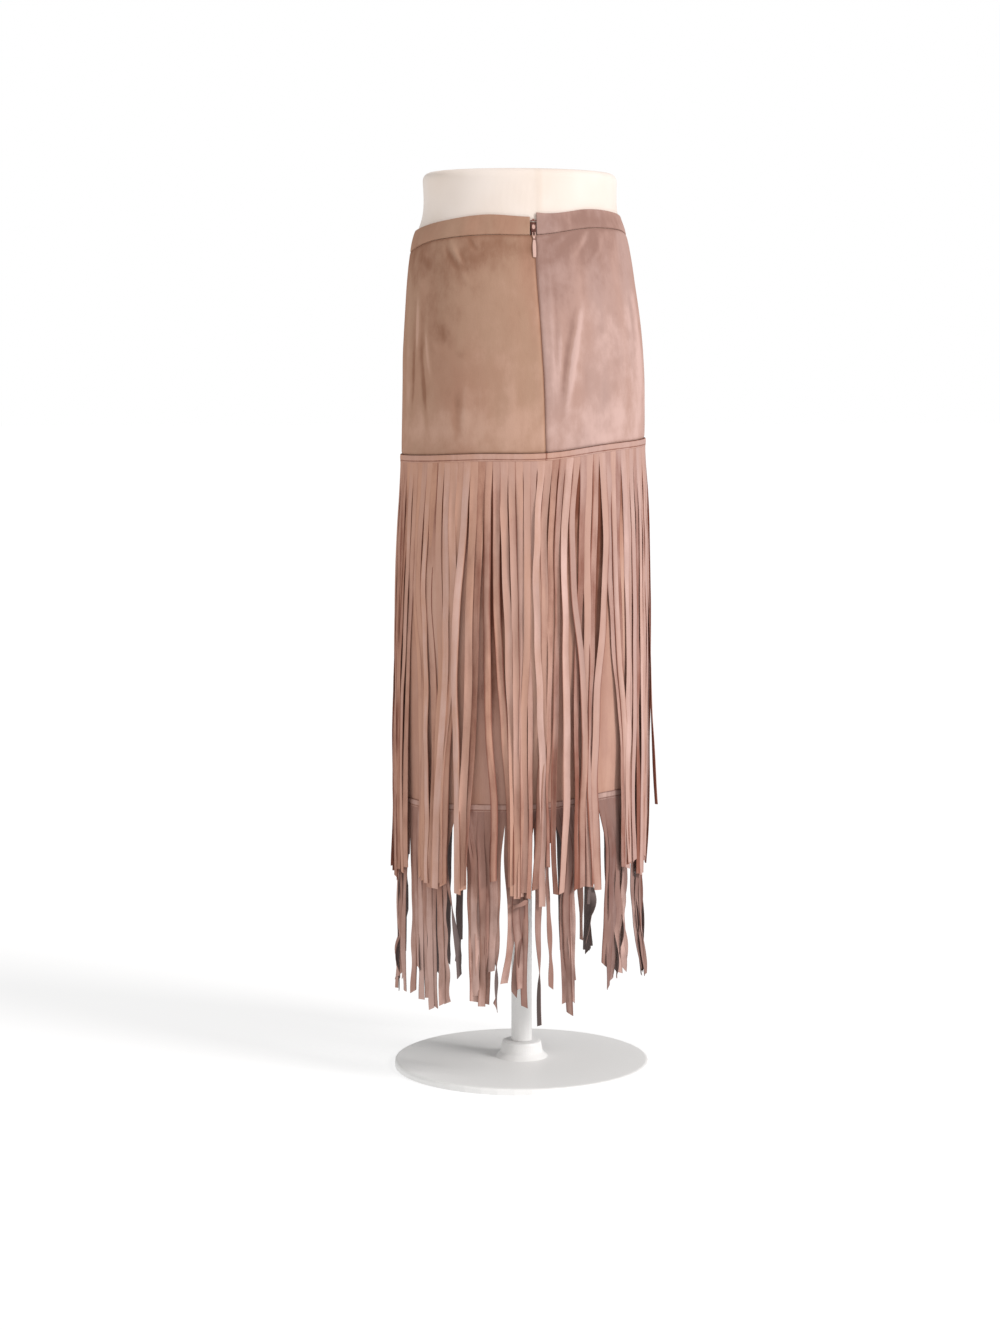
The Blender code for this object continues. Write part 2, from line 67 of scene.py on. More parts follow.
# %% Camera
VIEW_TURN = np.radians(168.0)       # 0 looks along +Y, so 180 would be straight at the back
VIEW_DISTANCE = 3.30                # from the pole's axis, level
VIEW_HEIGHT = 0.820
VIEW_PITCH = np.radians(5.7106)     # downwards
VIEW_YAW = np.radians(0.4584)       # the skirt stands a little right of the middle
VIEW_LENS = 74.44                   # for a film 36 mm along its long side


def add_camera():
    """The camera's axes: level direction to the pole turned by the yaw, then tipped by the pitch."""
    level = np.array([-np.sin(VIEW_TURN), np.cos(VIEW_TURN), 0.0])
    side = np.array([np.cos(VIEW_TURN), np.sin(VIEW_TURN), 0.0])
    level = level * np.cos(VIEW_YAW) - side * np.sin(VIEW_YAW)
    ahead = level * np.cos(VIEW_PITCH) - np.array([0, 0, 1.0]) * np.sin(VIEW_PITCH)
    right = np.cross(level, [0, 0, 1.0])
    up = np.cross(right, ahead)
    place = [VIEW_DISTANCE * np.sin(VIEW_TURN), -VIEW_DISTANCE * np.cos(VIEW_TURN), VIEW_HEIGHT]
    camera = bpy.data.objects.new("camera", bpy.data.cameras.new("camera"))
    camera.data.lens = VIEW_LENS
    camera.data.sensor_width = 36.0
    bpy.context.collection.objects.link(camera)
    axes = Matrix((right, up, -ahead)).transposed().to_4x4()
    camera.matrix_world = Matrix.Translation(place) @ axes
    bpy.context.scene.camera = camera
    print("camera at", np.round(place, 3).tolist())


add_camera()

# %% [markdown]
# ## Shader sums
#
# A material is a small sum on patterns. Wiring each Math node by hand hides that sum, so one class
# wraps a socket and lets `0.5 * grain + nap` add the nodes for itself.

# %% Wire: a socket that can be used in a sum
class Wire:
    """One output of a shader node. Its operators add Math nodes to the same tree."""

    def __init__(self, tree, socket):
        self.tree = tree
        self.socket = socket

    def node(self, kind, settings=None, inputs=None, output=0):
        """Any other node: its type, its settings (set first), its inputs and the output wanted."""
        made = self.tree.nodes.new(kind)
        for key, value in (settings or {}).items():
            setattr(made, key, value)
        for key, value in (inputs or {}).items():
            if isinstance(value, Wire):
                self.tree.links.new(value.socket, made.inputs[key])
            else:
                made.inputs[key].default_value = value
        return Wire(self.tree, made.outputs[output])

    def math(self, operation, *values):
        return self.node("ShaderNodeMath", {"operation": operation}, dict(enumerate(values)))

    def __add__(self, other):
        return self.math("ADD", self, other)

    def __sub__(self, other):
        return self.math("SUBTRACT", self, other)

    def __rsub__(self, other):
        return self.math("SUBTRACT", other, self)

    def __mul__(self, other):
        return self.math("MULTIPLY", self, other)

    __radd__ = __add__
    __rmul__ = __mul__

    def between(self, low, high):
        """0 below low, 1 above high, and a soft step between them."""
        values = {"Value": self, "From Min": low, "From Max": high}
        return self.node("ShaderNodeMapRange", {"interpolation_type": "SMOOTHSTEP"}, values)

    def mix(self, first, second):
        """A colour between two others, at this wire's value."""
        return self.node("ShaderNodeMix", {"data_type": "RGBA"}, {0: self, 6: first, 7: second}, 2)

    def stretched(self, scale):
        """A vector scaled along its three directions."""
        return self.node("ShaderNodeMapping", {"vector_type": "POINT"}, {"Vector": self, "Scale": scale})

    def noise(self, scale, detail=2.0, rough=0.5):
        """Soft noise, from 0 to 1, read at this vector."""
        values = {"Vector": self, "Scale": scale, "Detail": detail, "Roughness": rough}
        return self.node("ShaderNodeTexNoise", None, values)


print("a wire adds, subtracts, multiplies, mixes and reads noise")

# %% Where a sum starts and ends
def new_material(name, roughness, **uniform):
    """A Principled material; uniform values are set on the shader's own sockets."""
    made = bpy.data.materials.new(name)
    made.use_nodes = True
    shader = made.node_tree.nodes["Principled BSDF"]
    shader.inputs["Roughness"].default_value = roughness
    for key, value in uniform.items():
        shader.inputs[key.replace("_", " ")].default_value = value
    return made, shader


def start(material, attribute=None):
    """The wire to begin with: a named attribute of the piece, or its Object coordinates."""
    tree = material.node_tree
    if attribute:
        node = tree.nodes.new("ShaderNodeAttribute")
        node.attribute_name = attribute
        return Wire(tree, node.outputs["Vector"])
    return Wire(tree, tree.nodes.new("ShaderNodeTexCoord").outputs["Object"])


def number(material, attribute):
    """A named number that the piece carries on its points."""
    node = material.node_tree.nodes.new("ShaderNodeAttribute")
    node.attribute_name = attribute
    return Wire(material.node_tree, node.outputs["Fac"])


def colour(red, green, blue):
    """An opaque colour."""
    return (red, green, blue, 1.0)


def paint(shader, wire, socket="Base Color"):
    """Lets a wire end in one of the shader's sockets."""
    wire.tree.links.new(wire.socket, shader.inputs[socket])


def bump(shader, height, strength, distance):
    """Feeds a height through a Bump node into the shader's normal."""
    values = {"Height": height, "Strength": strength, "Distance": distance}
    paint(shader, height.node("ShaderNodeBump", None, values), "Normal")


print("a sum starts at an attribute or at Object coordinates, and ends in a socket")

# %% [markdown]
# ## Studio
#
# A pale floor that runs out of sight and an even white surround, brighter to the eye than as a lamp,
# so that the ground is clean and the cloth still has shade. One broad soft sun, high on the right,
# models the folds and throws the shadow to the left, and a weak lamp opens up the left side.

# %% Floor and surround
FLOOR_HALF = 60.0
SURROUND_LIGHT = 0.52               # what the cloth gets from all round
SURROUND_SEEN = 1.0                 # what the eye sees behind it


def add_floor():
    """A wide pale sheet that glows faintly, so that shadows on it stay light."""
    mesh = bpy.data.meshes.new("floor")
    corners = [(-FLOOR_HALF, -FLOOR_HALF, 0), (FLOOR_HALF, -FLOOR_HALF, 0),
               (FLOOR_HALF, FLOOR_HALF, 0), (-FLOOR_HALF, FLOOR_HALF, 0)]
    mesh.from_pydata(corners, [], [(0, 1, 2, 3)])
    floor = bpy.data.objects.new("floor", mesh)
    bpy.context.collection.objects.link(floor)
    material, shader = new_material("pale_floor", 0.9, Base_Color=colour(0.34, 0.34, 0.34),
                                    Specular_IOR_Level=0.0, Emission_Strength=0.72)
    shader.inputs["Emission Color"].default_value = (1, 1, 1, 1)
    mesh.materials.append(material)


def add_surround():
    """Background strength = light, or what is seen where the ray comes straight from the eye."""
    world = bpy.data.worlds.new("surround")
    world.use_nodes = True
    tree = world.node_tree
    straight = Wire(tree, tree.nodes.new("ShaderNodeLightPath").outputs["Is Camera Ray"])
    strength = straight * (SURROUND_SEEN - SURROUND_LIGHT) + SURROUND_LIGHT
    background = tree.nodes["Background"]
    background.inputs["Color"].default_value = (1, 1, 1, 1)
    tree.links.new(strength.socket, background.inputs["Strength"])
    bpy.context.scene.world = world


add_floor()
add_surround()
print("studio: a floor %.0f m wide under a white surround" % (2 * FLOOR_HALF))

# %% Lamps
SUN_POWER = 2.3
SUN_SPREAD = np.radians(16)
SUN_FROM = (-0.66, 0.62, 0.62)
SUN_AWAY = 6.0
FILL_POWER = 9.0
FILL_PLACE = (2.6, 2.2, 1.4)
FILL_SIZE = 1.8
AIM = (0.0, 0.0, 0.55)


def add_lamp(name, kind, place, power, tint, **settings):
    """A lamp turned towards the middle of the skirt."""
    data = bpy.data.lights.new(name, kind)
    data.energy = power
    data.color = tint
    for key, value in settings.items():
        setattr(data, key, value)
    lamp = bpy.data.objects.new(name, data)
    lamp.location = place
    lamp.rotation_euler = (Vector(place) - Vector(AIM)).to_track_quat("Z", "Y").to_euler()
    bpy.context.collection.objects.link(lamp)
    print(name, "at", np.round(place, 2).tolist())


sun_place = Vector(AIM) + SUN_AWAY * Vector(SUN_FROM).normalized()
add_lamp("soft_sun", "SUN", sun_place, SUN_POWER, (1.0, 0.975, 0.965), angle=SUN_SPREAD)
add_lamp("fill_lamp", "AREA", FILL_PLACE, FILL_POWER, (1.0, 0.93, 0.84), size=FILL_SIZE)
bpy.context.scene.view_settings.view_transform = "Standard"

# %% [markdown]
# ## The shape that all the cloth lies on
#
# The form under the cloth is oval, deeper behind than in front. A short table gives its half sizes
# at each distance below the waistband's upper edge, and smooth curves join the rows. A second table
# gives the seams and edges all round, because the skirt sits a little askew. Both are the tables
# that the frame was built from, so each shell lies just where its solid was.

# %% Rings, seams and edges
ABOVE_WAIST = 0.055                 # the form's top over the waistband's upper edge
WAIST_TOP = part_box("form_torso")[1][2] - ABOVE_WAIST

Ring = namedtuple("Ring", "drop half_width back_depth front_depth centre_x")
RINGS = (
    Ring(-0.060, 0.1190, 0.0965, 0.0960, 0.0030),
    Ring(0.000, 0.1210, 0.0985, 0.0980, 0.0022),
    Ring(0.018, 0.1272, 0.1004, 0.1000, 0.0022),
    Ring(0.046, 0.1330, 0.1050, 0.1035, 0.0022),
    Ring(0.075, 0.1367, 0.1102, 0.1060, 0.0016),
    Ring(0.103, 0.1397, 0.1150, 0.1085, 0.0004),
    Ring(0.131, 0.1422, 0.1200, 0.1110, -0.0005),
    Ring(0.160, 0.1441, 0.1240, 0.1130, -0.0010),
    Ring(0.188, 0.1449, 0.1268, 0.1150, -0.0016),
    Ring(0.217, 0.1453, 0.1280, 0.1160, -0.0016),
    Ring(0.275, 0.1460, 0.1285, 0.1165, -0.0012),
    Ring(0.480, 0.1466, 0.1280, 0.1168, -0.0004),
    Ring(0.680, 0.1470, 0.1278, 0.1170, 0.0000),
    Ring(0.960, 0.1470, 0.1278, 0.1170, 0.0000),
)

# Below the waistband's upper edge at the centre back. 0 is the left side seam, 90 the centre back,
# 180 the right side seam and 270 the centre front.
Edge = namedtuple("Edge", "angle band_top band_seam yoke_seam hem_seam")
EDGES = (
    Edge(0, 0.0120, 0.0370, 0.2760, 0.6810),
    Edge(30, 0.0050, 0.0265, 0.2755, 0.6830),
    Edge(60, -0.0012, 0.0222, 0.2730, 0.6810),
    Edge(90, 0.0012, 0.0220, 0.2720, 0.6790),
    Edge(120, -0.0088, 0.0130, 0.2630, 0.6710),
    Edge(150, -0.0076, 0.0128, 0.2585, 0.6700),
    Edge(180, -0.0030, 0.0190, 0.2560, 0.6680),
    Edge(225, 0.0020, 0.0260, 0.2580, 0.6680),
    Edge(270, 0.0060, 0.0305, 0.2650, 0.6730),
    Edge(315, 0.0100, 0.0350, 0.2720, 0.6780),
)

print("form: %d rings; seams: %d places round the skirt" % (len(RINGS), len(EDGES)))

# %% Reading the tables smoothly
def smooth(xs, ys, x):
    """A smooth curve through points, read at x: cubic pieces whose slopes are central differences."""
    xs = np.asarray(xs, float)
    ys = np.asarray(ys, float)
    slopes = np.gradient(ys, xs)
    x = np.clip(x, xs[0], xs[-1])
    i = np.clip(np.searchsorted(xs, x, side="right") - 1, 0, len(xs) - 2)
    span = xs[i + 1] - xs[i]
    s = (x - xs[i]) / span
    start_part = (1 + 2 * s) * (1 - s) ** 2 * ys[i] + s * (1 - s) ** 2 * span * slopes[i]
    end_part = s * s * (3 - 2 * s) * ys[i + 1] + s * s * (s - 1) * span * slopes[i + 1]
    return start_part + end_part


def column(rows, key, name, x):
    """One named column of a table, read along another."""
    return smooth([getattr(row, key) for row in rows], [getattr(row, name) for row in rows], x)


def edge(name, angle):
    """How far an edge lies below the waist's datum, all round."""
    turns = [row.angle + turn for turn in (-720, -360, 0, 360, 720) for row in EDGES]
    return smooth(turns, [getattr(row, name) for row in EDGES] * 5, angle)


print("the yoke's seam at the centre back lies %.3f m down" % edge("yoke_seam", 90.0))

# %% Places on the oval
def place(angle, drop, out):
    """The oval at this drop, pushed out: x = middle + (half width + out) cos, y = (depth + out) sin."""
    turn = np.radians(angle)
    back = column(RINGS, "drop", "back_depth", drop)
    front = column(RINGS, "drop", "front_depth", drop)
    depth = np.where(np.sin(turn) > 0, back, front) + out
    half = column(RINGS, "drop", "half_width", drop) + out
    x = column(RINGS, "drop", "centre_x", drop) + half * np.cos(turn)
    return np.stack(np.broadcast_arrays(x, depth * np.sin(turn), WAIST_TOP - drop), axis=-1)


def back_angle(x, drop):
    """The angle on the back at this x: the turn whose cos is (x - middle) / half width."""
    half = column(RINGS, "drop", "half_width", drop)
    middle = column(RINGS, "drop", "centre_x", drop)
    return np.degrees(np.arccos((x - middle) / half))


CENTRE_BACK = 90.0
YOKE_LEVEL = 0.137                  # the levels where lengths round the skirt are measured
STRIP_LEVEL = 0.640
STRIP_OUT = 0.006


def arc_table(drop, out):
    """Angles and the lengths round the skirt from the centre back to them, at one level."""
    angles = np.linspace(CENTRE_BACK - 360, CENTRE_BACK + 360, 2881)
    points = place(angles, np.full(angles.shape, drop), out)
    lengths = np.concatenate([[0], np.cumsum(np.linalg.norm(np.diff(points, axis=0), axis=1))])
    return angles, lengths - np.interp(CENTRE_BACK, angles, lengths)


YOKE_ARC = arc_table(YOKE_LEVEL, 0.0)
STRIP_ARC = arc_table(STRIP_LEVEL, STRIP_OUT)
STRIP_ROUND = np.interp(CENTRE_BACK + 360, *STRIP_ARC)


def angle_at(across, arc):
    """The angle at a distance round from the centre back, positive towards the wearer's right."""
    return np.interp(across, arc[1], arc[0])


print("once round at the hip: %.3f m" % STRIP_ROUND)

# %% [markdown]
# ## Cloth as closed walls
#
# Each piece of cloth has an outer and an inner face and real cut edges. Solidify could thicken a
# sheet, but here both faces are worked out, because the two faces of a strip need to know which is
# the napped side. One function joins any number of such walls into one mesh.

# %% Walls from grids
def walls(outer, inner):
    """Points and faces of closed walls. Both grids are shaped (walls, rows, columns, 3); rows run
    down and columns run towards greater angles, so that the outer faces point outwards."""
    count, rows, columns = outer.shape[:3]
    size = rows * columns
    index = np.arange(size).reshape(rows, columns)

    def quads(a, b, c, d):
        return np.stack([a.ravel(), b.ravel(), c.ravel(), d.ravel()], axis=1)

    face = quads(index[:-1, :-1], index[1:, :-1], index[1:, 1:], index[:-1, 1:])
    top = quads(index[0, :-1], index[0, 1:], index[0, 1:] + size, index[0, :-1] + size)
    foot = quads(index[-1, 1:], index[-1, :-1], index[-1, :-1] + size, index[-1, 1:] + size)
    first = quads(index[1:, 0], index[:-1, 0], index[:-1, 0] + size, index[1:, 0] + size)
    last = quads(index[:-1, -1], index[1:, -1], index[1:, -1] + size, index[:-1, -1] + size)
    one = np.concatenate([face, face[:, ::-1] + size, top, foot, first, last])
    shifts = np.arange(count) * 2 * size
    faces = (one[None] + shifts[:, None, None]).reshape(-1, 4)
    points = np.stack([outer, inner], axis=1).reshape(-1, 3)
    return points, faces


print("a wall has two faces and four cut edges")

# %% Marks for the suede
def both_faces(values, shape):
    """A value for each grid point, repeated for the outer and the inner face."""
    grid = np.broadcast_to(values, shape)
    return np.stack([grid, grid], axis=1)


def cloth_part(outer, inner, cut, shade=0.0):
    """Walls with what the suede needs to know: place on the flat cut (across, down, number), a
    shade from -1 (darker) to 1 (lighter), which carries the suede's own tone together with painted
    light and painted shade, and which face is the wrong side."""
    points, faces = walls(outer, inner)
    shape = outer.shape[:3]
    flat = np.stack([both_faces(part, shape) for part in cut], axis=-1).reshape(-1, 3)
    tones = both_faces(shade, shape).reshape(-1)
    reverse = np.stack([np.zeros(shape), np.ones(shape)], axis=1).reshape(-1)
    return points, faces, flat, tones, reverse


CUT_ANGLE = np.radians(50)          # a bend sharper than this is shaded as a corner


def put_in_scene(name, mesh, material):
    """A finished mesh as an object of the cloth's body, with its material and slot."""
    mesh.materials.append(material)
    made = bpy.data.objects.new(name, mesh)
    bpy.context.collection.objects.link(made)
    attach(made, CLOTH_BODY)
    print("%s: %d faces" % (name, len(mesh.polygons)))
    return made


def make_piece(name, parts, material):
    """One mesh object from parts. Suede parts carry five arrays, and stitches only the first two:
    points, faces, place on the cut, shade and which face is the wrong side."""
    starts = np.cumsum([0] + [len(part[0]) for part in parts])
    points = np.concatenate([part[0] for part in parts])
    faces = np.concatenate([part[1] + first for part, first in zip(parts, starts)])
    mesh = bpy.data.meshes.new(name)
    mesh.from_pydata(points.tolist(), [], faces.tolist())
    if len(parts[0]) > 2:
        flat = mesh.attributes.new("cut", "FLOAT_VECTOR", "POINT")
        flat.data.foreach_set("vector", np.concatenate([part[2] for part in parts]).ravel())
        for number_name, at in (("shade", 3), ("reverse", 4)):
            layer = mesh.attributes.new(number_name, "FLOAT", "POINT")
            layer.data.foreach_set("value", np.concatenate([part[at] for part in parts]))
    mesh.shade_smooth()
    mesh.set_sharp_from_angle(angle=CUT_ANGLE)
    return put_in_scene(name, mesh, material)


print("cloth rides on the body", CLOTH_BODY)

# %% The flat cut of a piece
def cut_size(outer):
    """Flat width, length and area of a panel from its outer grid."""
    width = np.linalg.norm(np.diff(outer, axis=1), axis=2).sum(axis=1).max()
    length = np.linalg.norm(np.diff(outer, axis=0), axis=2).sum(axis=0).max()
    down = outer[1:, :-1] - outer[:-1, :-1]
    along = outer[:-1, 1:] - outer[:-1, :-1]
    area = np.linalg.norm(np.cross(down, along), axis=2).sum()
    return float(width), float(length), float(min(area, width * length))


def hold(outer, node):
    """Hides a panel's solid, whose place the panel's shell takes, and prints the size of its cut."""
    width, length, area = cut_size(outer)
    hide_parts(node)
    print("  cut %.0f x %.0f mm" % (width / MM, length / MM))


# %% [markdown]
# ## Faux suede
#
# The cloth is a knit with a brushed microfibre pile. It has no gloss at all, and hands and seams
# leave broad darker and lighter patches where the nap lies another way. A picture of the cloth
# could be wrapped on, but it would stretch over the seams. The colour is mixed instead from four
# soft patterns on the flat cut: wide patches, mottling, brushed streaks and a fine grain. The wrong
# side is greyer and plainer.

# %% Suede
WIDE = 17.0                         # how many of each pattern lie in a metre of the cut
MOTTLING = (75.0, 42.0, 1.0)
STREAKS = (190.0, 16.0, 1.0)
GRAIN = 1100.0
HUES = (21.0, 5.0, 9.0)
PILE = (1400.0, 600.0, 1.0)
LIE_OF_PILE = (120.0, 40.0, 1.0)
SIDE_REACH = 0.13                   # metres from the middle to where a side's own tone is full


def suede_tone(cut, patchy, blotches, streaky):
    """Tone = patches + mottling + streaks + grain, each centred on 0 and weighed."""
    patches = cut.noise(WIDE, 3.0, 0.55)
    mottling = cut.stretched(MOTTLING).noise(1.0, 3.0, 0.6)
    streaks = cut.stretched(STREAKS).noise(1.0, 3.0, 0.6)
    grain = cut.noise(GRAIN, 2.0, 0.7)
    tone = patchy * (patches - 0.5) + blotches * (mottling - 0.5) + streaky * (streaks - 0.5)
    return tone + 0.35 * (grain - 0.5)


def suede(name, deep, warm, cool, light, wrong_side, patchy=1.5, blotches=0.9, lean=0.0,
          streaky=0.7):
    """Suede whose middle tone drifts between a warm and a cool one from place to place and from
    strip to strip, and by `lean` from the left side (warm) to the right (cool), a painted tint of
    the light on each side. Low tones mix it with the deep colour and high ones with the light
    colour; patchy, blotches and streaky weigh the three wider patterns."""
    material, shader = new_material(name, 0.95, Sheen_Weight=0.05, Sheen_Roughness=0.5,
                                    Sheen_Tint=colour(1.0, 0.62, 0.50), Specular_IOR_Level=0.0)
    cut = start(material, "cut")
    tone = suede_tone(cut, patchy, blotches, streaky) + number(material, "shade")
    hue = cut.stretched(HUES).noise(1.0, 2.0)
    x = start(material).node("ShaderNodeSeparateXYZ", None, {"Vector": start(material)})
    # painted tint of the light by place: warmer on the left side, cooler on the right
    towards_right = (x * -1.0).between(-SIDE_REACH, SIDE_REACH)
    share = hue.between(0.30, 0.70) * (1 - lean) + towards_right * lean
    middle = share.mix(colour(*warm), colour(*cool))
    low = tone.between(-0.9, 0.05).mix(colour(*deep), middle)
    both = tone.between(0.0, 0.95).mix(low, colour(*light))
    paint(shader, number(material, "reverse").mix(both, colour(*wrong_side)))
    pile = cut.stretched(PILE).noise(1.0, 2.0, 0.7)
    lie = cut.stretched(LIE_OF_PILE).noise(1.0, 3.0, 0.6)
    bump(shader, 0.6 * pile + lie, 0.45, 0.6 * MM)
    return material


print("suede: patches %.0f mm wide and a grain of %.1f mm" % (1000 / WIDE, 1000 / GRAIN))

# %% Five suedes
# Each deep colour is both the suede's own darker patches and the painted shade that the shade attribute
# carries into seams, creases, strip edges and under the fringe; each light colour is both its lighter
# patches and painted light.
SUEDE_LEFT = suede("suede_left", (0.290, 0.150, 0.098), (0.415, 0.231, 0.162),
                   (0.425, 0.261, 0.184), (0.53, 0.330, 0.250), (0.20, 0.105, 0.078),
                   patchy=1.25, blotches=1.0, streaky=0.22)
SUEDE_RIGHT = suede("suede_right", (0.305, 0.180, 0.148), (0.445, 0.278, 0.232),
                    (0.438, 0.292, 0.258), (0.59, 0.402, 0.358), (0.20, 0.110, 0.085),
                    blotches=1.0, streaky=0.22)
SUEDE_TIER_A = suede("suede_upper_tier", (0.238, 0.094, 0.066), (0.545, 0.302, 0.214),
                     (0.474, 0.312, 0.278), (0.67, 0.452, 0.398), (0.33, 0.140, 0.100),
                     patchy=0.8, blotches=0.3, lean=0.6)
# Its cool colour, which the lean lays on the right side, is darkened as painted shade on the right of
# the lower tier.
SUEDE_TIER_B = suede("suede_lower_tier", (0.18, 0.074, 0.055), (0.385, 0.208, 0.160),
                     (0.240, 0.150, 0.134), (0.58, 0.390, 0.340), (0.150, 0.115, 0.110),
                     patchy=1.0, blotches=0.6, lean=0.6)
# Its deep colour is darkened for the painted shade under the fringe.
SUEDE_UNDER = suede("suede_under", (0.17, 0.062, 0.040), (0.445, 0.238, 0.172),
                    (0.435, 0.248, 0.200), (0.54, 0.326, 0.254), (0.20, 0.085, 0.060),
                    patchy=0.7, blotches=0.5)
print("suede: five cuts, the nap of each brushed its own way")

# %% [markdown]
# ## Creases
#
# A crease is a soft ridge or trough laid along a short line on the cut. Cloth simulation would give
# creases too, but not where this skirt has them: short slanting puckers under the band, and long
# drags beside the zip. Each row says where a crease starts and ends, how far it stands out or in,
# how wide it is and how much it bows to the side. A third table holds the patches where hands and
# pressing have laid the nap the other way, and a few narrow ones along creases: painted shade in
# troughs and painted highlight on ridges.

# %% Creases behind
Crease = namedtuple("Crease", "across drop to_across to_drop lift half_width bow")
BACK_CREASES = (        # millimetres round from the centre back and down from the waist
    Crease(55, 88, 22, 246, 1.7, 4.0, -5),
    Crease(47, 92, 13, 250, -1.1, 5.0, -6),
    Crease(24, 96, 13, 250, 0.8, 3.5, -3),
    Crease(17, 60, 8, 250, -0.5, 3.0, 1),
    Crease(10, 40, 7, 268, 0.6, 3.0, 1),
    Crease(-11, 60, -9, 268, 0.35, 4.0, 0),
    Crease(62, 110, 46, 250, -0.45, 8.0, -4),
    Crease(76, 10, 44, 50, 0.75, 3.2, 0),
    Crease(66, 12, 26, 38, -0.8, 3.5, 0),
    Crease(88, 18, 60, 62, -0.4, 4.0, 2),
    Crease(100, 12, 70, 54, 0.4, 4.0, 3),
    Crease(34, 20, 4, 33, -0.6, 3.5, 0),
    Crease(52, 60, 44, 108, 0.4, 4.0, 0),
    Crease(150, 60, 143, 250, 0.9, 8.0, 3),
    Crease(140, 84, 138, 150, -0.5, 5.0, 0),
    Crease(72, 170, 70, 262, -0.35, 9.0, 0),
    Crease(98, 190, 100, 262, 0.35, 8.0, 0),
    Crease(120, 180, 124, 258, -0.35, 8.0, 0),
    Crease(44, 200, 52, 262, 0.4, 7.0, 0),
    Crease(-120, 22, -90, 62, 0.7, 2.8, -2),
    Crease(-128, 26, -98, 66, -0.6, 3.2, -2),
    Crease(-94, 22, -78, 42, -0.7, 2.6, 0),
    Crease(-100, 60, -82, 84, 0.35, 4.0, 0),
    Crease(-176, 44, -140, 62, -0.4, 5.0, 3),
    Crease(-170, 70, -138, 92, 0.35, 6.0, 2),
    Crease(-70, 26, -20, 46, -0.35, 7.0, 3),
    Crease(-104, 36, -88, 72, -0.35, 4.0, 0),
    Crease(-167, 84, -164, 166, 1.7, 3.4, 1),
    Crease(-171, 130, -178, 240, -0.9, 3.4, 0),
    Crease(-158, 126, -143, 264, -1.1, 3.6, -3),
    Crease(-152, 120, -142, 192, 1.3, 2.6, 2),
    Crease(-140, 140, -126, 158, 0.4, 3.0, 0),
    Crease(-134, 118, -120, 150, -0.4, 5.0, 4),
    Crease(-104, 196, -104, 262, -0.7, 5.0, 0),
    Crease(-92, 170, -96, 262, 0.35, 6.0, 0),
    Crease(-36, 140, -40, 262, 0.3, 7.0, 0),
    Crease(-60, 180, -52, 262, -0.3, 7.0, 0),
    Crease(-190, 60, -186, 250, 0.7, 7.0, 2),
)
print("creases behind:", len(BACK_CREASES))

# %% Creases in front and on the lower skirt
FRONT_CREASES = (
    Crease(420, 34, 392, 96, 0.7, 5.0, 3),
    Crease(404, 34, 430, 72, -0.5, 5.0, 0),
    Crease(455, 38, 476, 88, 0.6, 5.5, -3),
    Crease(340, 34, 362, 70, -0.6, 4.5, 0),
    Crease(372, 84, 392, 252, 2.0, 8.0, 4),
    Crease(500, 96, 486, 248, 1.6, 7.0, -4),
    Crease(512, 120, 506, 256, -0.8, 5.0, 0),
    Crease(292, 76, 288, 250, 1.3, 7.0, 2),
    Crease(300, 120, 302, 256, -0.7, 5.0, 0),
    Crease(430, 180, 434, 258, 0.4, 8.0, 0),
    Crease(342, 176, 338, 254, -0.5, 7.0, 0),
    Crease(560, 110, 566, 258, 0.9, 6.0, -2),
    Crease(578, 60, 572, 160, -0.7, 5.0, 2),
)
UNDER_CREASES = (
    Crease(-150, 290, -150, 640, 1.6, 16.0, 6),
    Crease(-60, 280, -66, 660, -1.2, 15.0, 0),
    Crease(-18, 290, -10, 660, 1.4, 14.0, 4),
    Crease(62, 290, 72, 650, -1.3, 15.0, -4),
    Crease(112, 280, 104, 655, 1.5, 16.0, 4),
    Crease(180, 300, 186, 640, -1.3, 16.0, 0),
    Crease(270, 290, 262, 650, 1.6, 17.0, 4),
    Crease(340, 290, 350, 650, -1.4, 15.0, 0),
    Crease(415, 280, 408, 655, 1.7, 16.0, -5),
    Crease(500, 290, 506, 650, -1.3, 15.0, 3),
    Crease(580, 290, 572, 640, 1.4, 15.0, 0),
)

print("creases in front:", len(FRONT_CREASES), "and below:", len(UNDER_CREASES))

